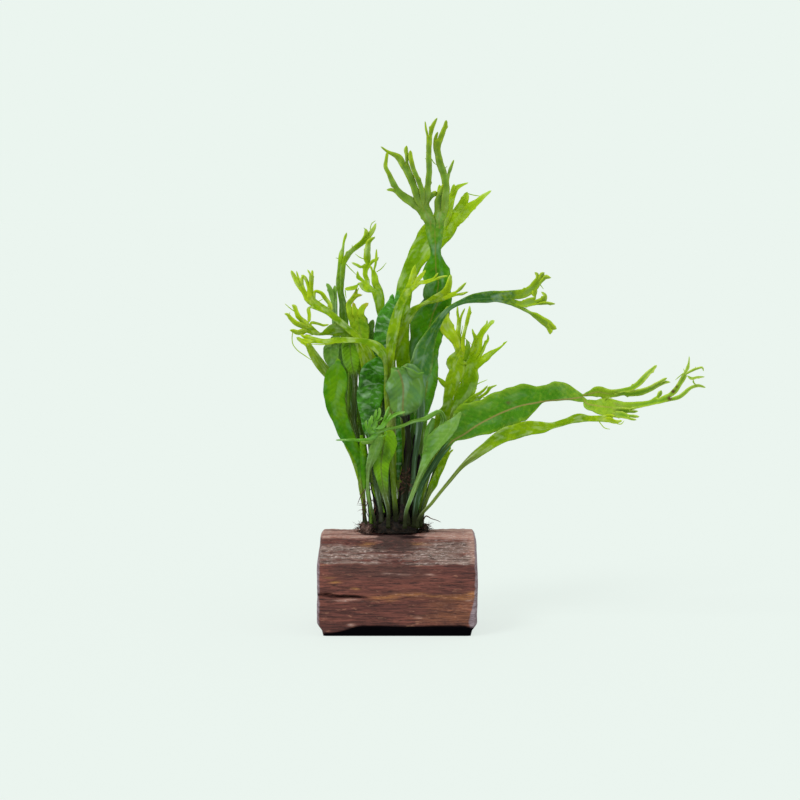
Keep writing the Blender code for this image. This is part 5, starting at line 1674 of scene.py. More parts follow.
            (-4.7, 114, 3.8), (-3.2, 119, 3.2), (-1.6, 123, 2.0),
        ),
        crest=(strap(0.5, ((-2.0, 126.0, 0.6),)), strap(-0.5, ((0.2, 127.6, 0.5),))),
        threads=(
            ((-1.4, 86.0, 1.0), (-0.6, 78.0, 1.6), (0.0, 70.0, 1.5), (0.3, 62.0, 1.0), (0.0, 56.0, 0.3)),
            ((9.6, 66.0, 0.9), (9.8, 60.0, 1.2), (9.0, 54.0, 0.8), (7.6, 47.0, 0.6), (6.4, 42.0, 0.5)),
        ),
    ),
    "left_spire_frond": Frond(
        tone=Tone.FRESH, foot=(-7.4, 5.4), depths=(7.0, 8.5, 9.5, 10.0), roll=0.3, fold=0.1,
        blade=(
            (-11.4, 62, 0.8), (-15.4, 84, 1.7), (-19.0, 104, 1.8), (-20.0, 112, 1.6), (-20.2, 118, 1.7),
            (-20.6, 122.6, 1.3), (-21.4, 126.4, 1.15), (-21.6, 129.5, 1.5), (-21.3, 133, 1.5),
            (-20.9, 137.2, 1.5),
        ),
        crest=(
            strap(
                0.5,
                ((-21.0, 141.0, 0.8), (-20.5, 143.2, 0.38), (-20.2, 145.2, 0.28), (-19.6, 147.3, 0.38),
                 (-19.0, 148.9, 0.08)),
            ),
            strap(
                -1.5,
                ((-19.2, 139.6, 0.9), (-17.6, 141.6, 0.75), (-15.6, 143.4, 0.8), (-13.6, 144.9, 0.9),
                 (-12.1, 146.3, 1.1)),
                strap(0.5, ((-12.0, 148.4, 0.55), (-11.9, 150.4, 0.45))),
                strap(-0.5, ((-10.6, 148.0, 0.8), (-9.3, 149.8, 0.65), (-8.1, 152.4, 0.1))),
            ),
        ),
        threads=(
            ((-19.6, 137.4), (-17.8, 135.4), (-15.6, 133.2)), ((-22.2, 139.2), (-23.2, 139.4)),
            ((-10.4, 150.0), (-9.7, 152.2), (-8.3, 153.3)), ((-12.2, 150.0), (-12.7, 150.6)),
            ((-17.0, 143.2), (-17.1, 144.3)),
        ),
    ),
    "left_branching_frond": Frond(
        tone=Tone.FRESH, foot=(-3.2, 3.2), depths=(4.0, 4.5, 4.0, 3.0), roll=0.25, fold=0.15,
        blade=(
            (-3.2, 60, 0.8), (-3.0, 82, 1.7), (-3.2, 102, 2.2), (-4.8, 114, 1.7), (-6.6, 121.0, 1.7),
            (-7.0, 124.4, 2.0), (-7.7, 127.0, 2.1),
        ),
        crest=(
            strap(
                1.0, ((-10.2, 127.6, 1.3), (-12.1, 128.8, 1.7), (-12.8, 130.6, 2.2)),
                strap(0.5, ((-15.6, 128.6, 0.7), (-18.0, 128.0, 0.55), (-19.9, 127.8, 0.4))),
                strap(-0.5, ((-14.8, 132.4, 0.55), (-15.1, 134.6, 0.08))),
                strap(
                    0.5, ((-12.2, 133.2, 0.75), (-12.0, 135.0, 0.8), (-11.4, 136.8, 1.1)),
                    strap(-1.0, ((-13.6, 136.0, 0.4), (-15.4, 136.8, 0.4), (-17.3, 137.7, 0.15))),
                    strap(
                        0.3,
                        ((-11.5, 139.6, 1.15), (-11.3, 142.4, 0.95), (-10.9, 145.2, 0.7),
                         (-8.8, 147.2, 0.2)),
                    ),
                    strap(1.0, ((-9.6, 138.0, 0.5), (-8.2, 138.8, 0.4), (-7.0, 139.7, 0.08))),
                ),
            ),
            strap(
                -1.0, ((-8.3, 129.8, 1.3), (-8.7, 132.4, 1.05), (-9.2, 134.6, 0.6)),
                strap(0.3, ((-10.2, 136.4, 0.3),)),
                strap(0.5, ((-8.4, 136.8, 0.3), (-8.1, 139.5, 0.32), (-8.0, 142.8, 0.06))),
            ),
        ),
        threads=(
            ((-12.4, 139.0), (-14.0, 139.5), (-15.9, 140.9)),
            ((-19.7, 127.4), (-19.6, 126.0), (-19.3, 124.4)),
            ((-14.6, 128.2), (-15.2, 126.6), (-14.8, 125.4), (-13.2, 125.6)),
            ((-7.9, 134.2), (-6.4, 135.2), (-4.3, 137.6)), ((-8.8, 146.6), (-8.6, 147.4)),
        ),
    ),
    "upper_left_frond": Frond(
        tone=Tone.YELLOW, foot=(-5.2, 0.2), depths=(-1.0, -2.5, -5.5, -7.5, -9.0), roll=0.5, fold=0.15,
        bare=(0.9, 1.5),
        blade=(
            (-6.4, 60, 0.8), (-7.4, 82, 1.6), (-9.6, 101, 1.8), (-14.2, 108.8, 1.0), (-18.6, 112.9, 1.2),
            (-23.6, 117.2, 1.2), (-26.5, 119.6, 1.3), (-29.2, 121.1, 1.5), (-31.6, 122.4, 1.9),
        ),
        crest=(
            strap(0.0, ((-33.2, 120.6, 0.55), (-33.1, 118.0, 0.5), (-33.3, 115.3, 0.45))),
            strap(
                -0.8, ((-33.5, 124.2, 1.2), (-34.9, 126.4, 0.8), (-36.2, 128.6, 1.05)),
                strap(-0.5, ((-38.1, 131.0, 0.75), (-39.0, 133.0, 0.65), (-39.9, 134.8, 0.25))),
                strap(0.5, ((-37.0, 131.4, 0.35), (-37.9, 134.6, 0.06))),
                strap(0.2, ((-35.9, 131.0, 0.5), (-35.4, 133.2, 0.12))),
            ),
            strap(
                0.5, ((-32.7, 125.4, 1.1), (-32.8, 128.2, 1.0)),
                strap(0.3, ((-34.1, 130.9, 0.5), (-35.0, 132.4, 0.4), (-36.2, 133.0, 0.08))),
                strap(
                    -0.5, ((-32.3, 131.0, 0.7), (-32.3, 133.0, 0.6)),
                    strap(-0.2, ((-33.8, 135.1, 0.1),)), strap(0.2, ((-32.0, 134.9, 0.4),)),
                ),
            ),
            strap(
                1.5,
                ((-30.9, 126.9, 0.4), (-28.6, 126.3, 0.5), (-27.2, 124.4, 0.6), (-25.2, 121.6, 0.55),
                 (-24.8, 119.5, 0.35)),
            ),
        ),
        threads=(
            ((-31.9, 130.6), (-31.3, 132.6)), ((-29.6, 123.2), (-27.4, 124.4)),
            ((-33.6, 122.4), (-35.2, 125.0)),
        ),
    ),
    "middle_left_frond": Frond(
        tone=Tone.YELLOW, foot=(-8.0, 1.4), depths=(0.0, -1.5, -3.5, -5.0, -6.0), roll=-0.5, fold=0.1,
        bare=(0.9, 1.5),
        blade=(
            (-9.8, 62, 0.8), (-11.0, 84, 1.6), (-12.6, 102, 1.8), (-15.6, 109.6, 1.9), (-19.8, 112.0, 2.3),
            (-24.0, 112.6, 2.3), (-26.6, 111.8, 1.3), (-28.8, 110.9, 0.45), (-31.0, 111.6, 1.1),
            (-33.2, 112.9, 1.7),
        ),
        crest=(
            strap(
                -1.0,
                ((-35.4, 111.9, 1.0), (-37.6, 111.6, 0.75), (-39.4, 112.2, 0.45), (-40.5, 112.4, 0.12)),
            ),
            strap(
                -0.5,
                ((-35.6, 114.0, 0.9), (-38.2, 115.1, 0.75), (-40.2, 117.0, 0.6), (-41.2, 118.2, 0.45),
                 (-42.5, 118.6, 0.1)),
            ),
            strap(
                0.5,
                ((-35.0, 115.4, 0.9), (-36.9, 117.2, 0.75), (-38.1, 119.6, 0.65), (-38.7, 121.2, 0.6),
                 (-39.7, 121.9, 0.2)),
            ),
            strap(
                0.8,
                ((-32.6, 114.9, 0.45), (-30.0, 114.9, 0.38), (-27.8, 114.2, 0.33), (-25.8, 114.5, 0.15)),
            ),
        ),
        threads=(
            ((-38.6, 119.4), (-40.4, 120.7), (-42.2, 122.3)), ((-40.6, 117.4), (-40.4, 119.2)),
            ((-34.6, 110.7), (-32.4, 110.6), (-30.6, 111.2)),
            ((-39.3, 112.0), (-39.6, 109.4), (-39.3, 107.2), (-37.6, 104.9), (-35.0, 103.0), (-32.4, 101.2)),
        ),
    ),
    "low_left_strap_frond": Frond(
        tone=Tone.YELLOW, foot=(-0.8, -4.0), depths=(-5.0, -7.5, -10.5, -12.0, -12.5), roll=0.3, fold=0.15,
        bare=(0.9, 1.5),
        blade=(
            (-1.2, 48, 1.0), (-2.0, 60, 1.1), (-3.2, 76, 1.0), (-4.4, 90, 0.8), (-4.5, 98, 0.7),
            (-5.0, 101.8, 1.1), (-5.9, 104, 1.9), (-8.2, 106.3, 1.9), (-11.0, 107.8, 1.3),
            (-16.0, 108.6, 1.0), (-22.0, 108.7, 1.1), (-28.0, 108.2, 0.9), (-31.4, 108.7, 1.2),
        ),
        crest=(
            strap(-0.5, ((-33.8, 108.3, 0.7), (-36.0, 108.9, 0.4), (-37.4, 109.8, 0.08))),
            strap(0.5, ((-33.6, 109.6, 0.7), (-35.2, 110.1, 0.45), (-36.6, 110.9, 0.12))),
        ),
        threads=(((-24.0, 107.4), (-29.0, 107.0), (-34.0, 107.3)),),
    ),
    "short_left_frond": Frond(
        tone=Tone.PALE, foot=(-10.0, 3.4), depths=(4.0, 5.0, 5.0), roll=0.2, fold=0.1,
        blade=((-13.4, 62, 0.7), (-18.4, 84, 1.4), (-22.2, 104, 1.6), (-23.6, 117, 1.1), (-23.8, 123, 1.2)),
        crest=(
            strap(-0.5, ((-24.9, 126.0, 0.85), (-25.6, 128.2, 0.7), (-26.7, 129.9, 0.35))),
            strap(0.5, ((-23.6, 126.4, 0.7), (-23.5, 129.2, 0.3))),
        ),
    ),
    "bronze_young_frond": Frond(
        tone=Tone.BRONZE, foot=(-6.2, 3.6), depths=(3.5, 3.0, 2.5), roll=-0.2, fold=0.1,
        blade=(
            (-9.2, 62, 0.7), (-12.0, 84, 1.6), (-13.2, 102, 2.2), (-13.6, 109, 2.6), (-14.2, 113, 3.5),
            (-15.0, 116, 3.2),
        ),
        crest=(
            strap(
                0.5, ((-18.0, 119.6, 1.0), (-18.4, 122.0, 0.9), (-17.0, 124.0, 0.8)),
                strap(-0.3, ((-15.8, 126.4, 0.4), (-15.3, 128.2, 0.08))),
                strap(-0.8, ((-15.0, 125.4, 0.5), (-13.3, 125.5, 0.12))),
            ),
            strap(0.0, ((-16.2, 120.0, 0.9), (-16.6, 122.8, 0.3))),
            strap(-0.8, ((-13.9, 118.6, 1.1), (-13.2, 120.8, 0.95), (-11.0, 122.6, 0.35))),
        ),
    ),
    "pale_centre_left_frond": Frond(
        tone=Tone.PALE, foot=(-4.8, 2.4), depths=(3.4, 5.2, 5.0), roll=0.1, fold=0.1,
        blade=((-5.0, 60, 0.7), (-7.4, 82, 1.5), (-9.2, 98, 2.3), (-10.6, 106, 2.6), (-11.4, 112, 2.4)),
        crest=(
            strap(0.5, ((-12.9, 116.4, 1.2), (-14.6, 119.6, 0.4))),
            strap(-0.5, ((-9.8, 114.4, 1.0), (-9.2, 116.4, 0.4))),
        ),
    ),
    "pale_left_frond": Frond(
        tone=Tone.PALE, foot=(-10.4, 1.8), depths=(1.9, 1.7, 0.4), roll=-0.3, fold=0.15,
        blade=(
            (-13.0, 60, 0.7), (-16.8, 78, 0.9), (-20.8, 92, 1.3), (-24.0, 99.2, 2.0), (-25.0, 102.5, 2.8),
            (-24.9, 105.6, 3.0),
        ),
        crest=fan(-24.8, 106.0, 12.0, 4.0, 3, -0.5),
    ),
    "back_left_frond": Frond(
        tone=Tone.FRESH, foot=(-4.6, 7.0), depths=(11.0, 17.0, 23.0), roll=0.3, fold=-0.2,
        blade=((-6.4, 60, 0.9), (-8.6, 76, 1.6), (-9.0, 86, 3.6), (-7.6, 95, 4.2), (-6.0, 102, 2.8)),
        crest=fan(-5.6, 103.0, 10.0, 11.0, 4, 5.0),
    ),
    "back_centre_frond": Frond(
        tone=Tone.DEEP, foot=(0.8, 7.6), depths=(12.0, 20.0, 29.0), roll=-0.3, fold=-0.2,
        blade=((3.2, 58, 0.9), (5.6, 74, 1.4), (7.6, 86, 3.4), (9.2, 97, 4.0), (10.2, 105, 2.6)),
        crest=fan(10.4, 106.0, 4.0, 9.0, 4, 6.0),
    ),
    "back_right_frond": Frond(
        tone=Tone.FRESH, foot=(4.6, 6.0), depths=(9.0, 13.0, 17.0), roll=0.2, fold=-0.2,
        blade=((6.8, 58, 0.9), (8.6, 72, 1.4), (8.4, 84, 3.0), (5.6, 94, 3.8), (2.6, 102, 2.6)),
        crest=fan(2.2, 103.0, -12.0, 10.0, 4, 4.0),
    ),
    "back_low_left_frond": Frond(
        tone=Tone.DEEP, foot=(-7.0, 7.0), depths=(12.0, 22.0, 33.0), roll=0.2, fold=-0.2,
        blade=((-7.4, 49, 0.8), (-7.8, 56, 1.6), (-7.4, 63, 3.0), (-6.6, 68, 2.6)),
        crest=fan(-6.4, 68.6, 8.0, 6.5, 3, 6.0),
    ),
    "back_low_right_frond": Frond(
        tone=Tone.FRESH, foot=(5.0, 8.2), depths=(13.0, 24.0, 36.0), roll=-0.2, fold=-0.2, bare=(0.9, 1.4),
        blade=((6.6, 50, 0.8), (8.6, 57, 1.6), (10.4, 64, 2.8), (12.0, 69, 2.4)),
        crest=fan(12.4, 69.6, 14.0, 6.0, 3, 5.0),
    ),
}


@dataclass(frozen=True)
class Driftwood:
    """The short split block that the fern grows on, with its grain along X and a flat sawn underside."""

    name: str = "split_driftwood"
    left: float = -29.8
    right: float = 29.4
    section: tuple[tuple[float, float], ...] = (
        (16.0, 0.0), (-18.6, 0.0), (-19.6, 1.6), (-20.6, 4.3), (-21.4, 9.0), (-21.5, 12.8), (-21.9, 15.0),
        (-22.4, 16.6), (-22.5, 22.0), (-21.5, 27.6), (-16.5, 31.8), (-11.0, 35.0),
        (-5.0, 36.2), (10.0, 36.2), (16.5, 33.2), (21.2, 27.0), (22.6, 17.0), (20.6, 6.0),
    )
    around: int = 380
    along: int = 200
    radial: int = 12  # columns from each end face's middle to its rim
    soften: float = 1.1  # how much its corners are worn round, mm
    end_wear: float = 1.2  # how far its end corners are worn back, mm
    wear_columns: int = 6
    # Where its front was torn lately, as (along, up, half length, half width), mm.
    ochre_strokes: tuple[tuple[float, float, float, float], ...] = (
        (-11.5, 33.2, 2.5, 0.5), (6.5, 33.7, 3.5, 0.4), (-25.2, 22.5, 1.9, 0.35), (-23.0, 20.6, 1.8, 0.35),
        (-15.9, 18.3, 1.8, 0.35),
    )
    # Pale torn strokes, as (along, up, half length, half width), mm; the long one at (-18.8, 13.9) is a
    # painted highlight on the split's lower lip.
    pale_strokes: tuple[tuple[float, float, float, float], ...] = (
        (-3.6, 23.9, 2.2, 0.35), (1.6, 23.3, 2.6, 0.4), (11.6, 23.4, 1.9, 0.35), (7.8, 7.5, 1.4, 0.35),
        (-18.8, 13.9, 4.4, 0.4), (26.0, 14.0, 1.2, 0.4), (-17.2, 4.6, 1.2, 0.5),
    )

    def outline(self) -> np.ndarray:
        """The section as evenly spaced (y, z) places with its corners worn round."""
        corners = np.array(self.section + self.section[:1])
        lengths = distances(corners)
        at = np.linspace(0.0, lengths[-1], self.around + 1)[:-1]
        ring = np.column_stack([np.interp(at, lengths, corners[:, k]) for k in range(2)])
        step = lengths[-1] / self.around
        for _ in range(max(int((self.soften / step) ** 2), 1)):
            ring = 0.25 * np.roll(ring, 1, axis=0) + 0.5 * ring + 0.25 * np.roll(ring, -1, axis=0)
        return ring

    def relief(self, x: float, y: float, z: float, around: float) -> float:
        """How far the surface stands out at a place.

        Args:
            x: place along the block, mm.
            y: depth, mm.
            z: height, mm.
            around: distance along the section, mm.

        Returns:
            Millimetres outwards.
        """
        broad = noise.noise(Vector((0.07 * x, 0.2 * around, 3.0)))
        fibre = noise.noise(Vector((0.16 * x, 0.8 * around, 8.0)))
        fine = noise.noise(Vector((0.5 * x, 1.7 * around, 1.0)))
        out = 0.3 * broad + 0.26 * fibre + 0.16 * fine
        front = y < -9.0
        if front and z > 26.0:
            # The weathered slope is eaten into short hollows between hard fibres.
            groove = 1.0 - abs(noise.noise(Vector((0.16 * x, 0.75 * around, 21.0)))) * 3.2
            out -= 0.5 * max(groove, 0.0) * min((z - 26.0) / 2.5, 1.0)
        if front and 10.0 < z < 20.0:
            # The split along its front: open at the left end, and only a ledge further right.
            out -= 1.5 * self.open_by(x) * math.exp(-(((z - self.split_at(x)) / 0.55) ** 2))
            out += 0.35 * (1.0 - self.open_by(x)) * math.exp(-(((z - 15.8) / 1.1) ** 2))
        reach = min(x - self.left, self.right - x)
        out *= min(max(reach / 4.0, 0.25), 1.0)
        if z < 0.4:
            out = 0.0
        elif z < 3.0:
            out *= (z - 0.4) / 2.6
        return out

    def split_at(self, x: float) -> float:
        """How high the split runs at x, in mm."""
        return 15.0 + 2.0 * math.exp(-(x - self.left) / 4.0) + 0.3 * noise.noise(Vector((0.3 * x, 0.0, 5.0)))

    @staticmethod
    def strokes(
        x: np.ndarray, z: np.ndarray, chipped: np.ndarray, table: Sequence[tuple[float, float, float, float]]
    ) -> np.ndarray:
        """How much each place lies in a stroke of a table.

        Args:
            x: places along the block, mm.
            z: their heights, mm.
            chipped: a rough pattern, which makes the strokes' edges ragged.
            table: the strokes, as (along, up, half length, half width), mm.

        Returns:
            From 0 to 1.
        """
        out = np.zeros_like(x)
        for along, up, length, width in table:
            out += np.exp(-(((x - along) / length) ** 2) - ((z - up + 0.5 * chipped) / width) ** 2)
        return np.clip(out, 0.0, 1.0)

    def open_by(self, x: float) -> float:
        """How open the split is at x, from 1 to 0."""
        return float(smoothstep(-11.0, -17.0, x))

    def squared(self, x: float, z: float) -> float:
        """Moves a place along the block, so that its end faces lean in at their top and bottom.

        Args:
            x: place along the block, mm.
            z: height, mm.

        Returns:
            The place moved, mm.
        """
        top = float(smoothstep(24.0, 37.0, z))
        foot = float(smoothstep(5.5, 0.5, z))
        left = self.left + 0.9 * top + 2.4 * foot
        right = self.right - 0.3 * top - 2.6 * foot
        return left + (x - self.left) * (right - left) / (self.right - self.left)

    def build(self) -> bpy.types.Object:
        """Builds the block's mesh with what its material reads."""
        ring = self.outline()
        ahead = np.roll(ring, -1, axis=0) - np.roll(ring, 1, axis=0)
        ahead /= np.linalg.norm(ahead, axis=1, keepdims=True)
        outward = np.stack((ahead[:, 1], -ahead[:, 0]), axis=1)
        middle = ring.mean(axis=0)
        if np.sum((ring - middle) * outward) < 0.0:
            outward = -outward
        step = float(np.linalg.norm(ring[1] - ring[0]))
        run = np.arange(self.around) * step
        wear = (1.0 - np.cos(np.linspace(0.0, 0.5 * math.pi, self.wear_columns))) * self.end_wear
        corner = np.linspace(0.0, self.end_wear, self.wear_columns)[:-1]
        body = np.concatenate((
            self.left + corner,
            np.linspace(self.left + self.end_wear, self.right - self.end_wear, self.along),
            self.right - corner[::-1],
        ))
        inset = np.concatenate((wear[::-1][:-1], np.zeros(self.along), wear[1:]))
        shrink = np.linspace(0.0, 1.0, self.radial + 1)[:-1]
        columns: list[tuple[float, float, float]] = [(self.left, s, 1.0) for s in shrink]
        columns += [(x, 1.0, 0.0) for x in body]
        columns += [(self.right, s, 1.0) for s in shrink[::-1]]
        insets = np.concatenate((np.full(self.radial, wear[-1]), inset, np.full(self.radial, wear[-1])))
        places = np.zeros((self.around + 1, len(columns), 3))
        ends = np.zeros((self.around + 1, len(columns)))
        for j, (x, scale, face) in enumerate(columns):
            for i in range(self.around):
                y, z = ring[i]
                reach = min(x - self.left, self.right - x)
                out = self.relief(x, y, z, run[i]) - insets[j]
                y, z = y + outward[i, 0] * out, z + outward[i, 1] * out
                if face:
                    y, z = middle[0] + (y - middle[0]) * scale, middle[1] + (z - middle[1]) * scale
                # Both end faces are a little wavy, which dies away along the block.
                wave = 0.1 * math.sin(0.3 * z + 0.2 * y)
                wave += 0.12 * noise.noise(Vector((0.2 * y, 0.3 * z, x > 0.0)))
                places[i, j] = (self.squared(x + wave * math.exp(-reach / 1.5), z), y, max(z, 0.0))
                ends[i, j] = face
        bottom = ring[:, 1] < 0.3
        places[:-1][bottom, self.radial : -self.radial, 2] = 0.0
        # The last row closes the ring, so it's the first one again, also where the underside was laid flat.
        places[-1] = places[0]
        ends[-1] = ends[0]
        block = new_sheet(self.name, len(columns) - 1, self.around, places)
        self.mark(block, places, ends)
        joined = join([block], weld=2e-5, closed=True)
        bpy.ops.object.shade_smooth_by_angle(angle=math.radians(50.0))
        joined.data.materials.append(DriftwoodFinish().dress())
        return joined

    def mark(self, block: bpy.types.Object, places: np.ndarray, ends: np.ndarray) -> None:
        """Stores where the wood is weathered, pale, orange, ochre, sawn and damp, and where light and shade
        are painted on it:
        highlights on the split's lip and ledge, shade under the slope's edge, in the hollow below the stem,
        along the foot and in the split.

        Args:
            block: the grid.
            places: (rows, columns, 3) its vertices, mm.
            ends: (rows, columns) 1 on the end faces.
        """
        x, y, z = places[..., 0], places[..., 1], places[..., 2]
        # Three rough patterns, drawn out along the grain. The numbers are how often each varies in a mm.
        ragged, chipped, streaked = (
            np.array([
                noise.noise(Vector((along * a, across * b, across * c + shift)))
                for a, b, c in places.reshape(-1, 3)
            ]).reshape(x.shape)
            for along, across, shift in ((0.06, 0.5, 0.0), (0.22, 0.6, 9.0), (0.03, 1.2, 4.0))
        )
        front = smoothstep(-4.0, -8.0, y)
        zig = z + 1.6 * ragged + 0.8 * chipped
        # The front's slope is weathered between two ragged edges, and least so at its middle.
        grey = smoothstep(26.8, 27.8, zig) * (1.0 - smoothstep(32.6, 34.6, zig - 0.03 * x))
        worn = 0.75 - 0.55 * np.exp(-(((x + 1.0) / 8.0) ** 2)) + 0.1 * smoothstep(8.0, 16.0, x)
        worn = np.clip(worn + 0.5 * chipped + 0.9 * streaked, 0.0, 1.0)
        set_values(block.data, "weathered", front * grey * worn)
        # The top is pale except round the creeping stem, and so are the upper right corner and torn strokes;
        # the stroke under the split is a painted highlight on its lower lip.
        stem = np.hypot(x - STEM_CENTRE[0], 1.2 * (y - STEM_CENTRE[1]))
        top = smoothstep(34.3, 35.4, z + ragged) * smoothstep(7.0, 15.0, stem + 6.0 * ragged)
        top = top * np.clip(0.8 + 1.3 * streaked, 0.15, 1.0)
        corner = 0.6 * smoothstep(4.5, 1.5, self.right - x + 2.0 * chipped) * smoothstep(26.0, 29.0, z)
        torn = 0.95 * front * self.strokes(x, z, chipped, self.pale_strokes)
        set_values(block.data, "pale", np.clip(top + corner + torn, 0.0, 1.0))
        # The ledge that goes on from the split is orange, partly the fresh wood's colour and partly a
        # painted highlight along the ledge, and below it the right side is warmer.
        ember = np.exp(-(((zig - 15.4) / 1.1) ** 2)) * smoothstep(-12.0, -4.0, x + 8.0 * ragged)
        warm = 0.24 * smoothstep(4.0, 16.0, x + 8.0 * ragged)
        warm = warm * smoothstep(14.5, 12.5, z) * smoothstep(3.0, 6.0, z)
        set_values(block.data, "ember", front * np.clip(0.9 * ember + warm, 0.0, 1.0))
        set_values(block.data, "ochre", 0.8 * front * self.strokes(x, z, chipped, self.ochre_strokes))
        # Painted shade: darker under the slope's lower edge, and in the hollow below the creeping stem.
        below = smoothstep(27.8, 26.6, zig) * smoothstep(20.0, 24.5, zig)
        below = below * smoothstep(-29.0, -22.0, x) * smoothstep(16.0, 4.0, x)
        hollow = smoothstep(31.0, 32.2, zig) * smoothstep(-3.5, -6.0, y)
        strayed = x + 5.0 * chipped
        hollow = hollow * smoothstep(-11.0, -7.0, strayed) * smoothstep(9.0, 4.0, strayed)
        set_values(block.data, "painted_shade", np.clip(0.65 * front * below + 0.9 * hollow, 0.0, 1.0))
        # The sawn look goes a little way round both end faces' corners, and further low down at the right.
        from_left, from_right = x - places[:, :1, 0], places[:, -1:, 0] - x
        left_face = smoothstep(1.2, 0.5, from_left + 0.35 * chipped)
        right_face = smoothstep(1.1, 0.6, from_right + 0.35 * chipped - 2.0 * smoothstep(17.0, 5.0, z))
        set_values(block.data, "end", np.clip(np.maximum(ends, np.maximum(left_face, right_face)), 0.0, 1.0))
        # Painted shade makes it nearly black along its foot, where its underside faces down, and in the
        # split; round the creeping stem it is darkened by damp.
        edge = 1.3 + 2.9 * smoothstep(-26.0, -13.0, x) - 1.0 * smoothstep(24.0, 28.0, x)
        under = smoothstep(edge + 0.5, edge - 0.3, z + 0.7 * ragged)
        damp = 0.75 * smoothstep(13.0, 9.0, stem + 9.0 * ragged) * smoothstep(33.0, 35.5, z)
        line = np.array([[self.split_at(float(v)) for v in x[0]]])
        split = front * np.exp(-(((z - line) / 0.5) ** 2)) * smoothstep(-9.0, -15.0, x)
        set_values(block.data, "wet", np.clip(np.maximum(under, np.maximum(damp, 0.9 * split)), 0.0, 1.0))


def tube(name: str, middle: np.ndarray, radius: np.ndarray, sides: int) -> bpy.types.Object:
    """Makes a tube that closes to a point at both ends.

    Args:
        name: the object's name.
        middle: (rows, 3) across, up and depth, mm.
        radius: (rows,) mm.
        sides: how many sides it has.

    Returns:
        The tube.
    """
    ahead = np.gradient(middle, axis=0)
    ahead /= np.linalg.norm(ahead, axis=1, keepdims=True)
    aside = np.cross(ahead, (0.1, 0.2, 1.0))
    aside /= np.linalg.norm(aside, axis=1, keepdims=True)
    other = np.cross(ahead, aside)
    radius = radius.copy()
    radius[[0, -1]] = 0.0
    turn = np.linspace(0.0, 2.0 * math.pi, sides + 1)[None, :, None]
    turn[:, -1] = 0.0
    ring = np.cos(turn) * aside[:, None, :] + np.sin(turn) * other[:, None, :]
    return new_sheet(name, sides, len(middle) - 1, seen(middle[:, None, :] + ring * radius[:, None, None]))


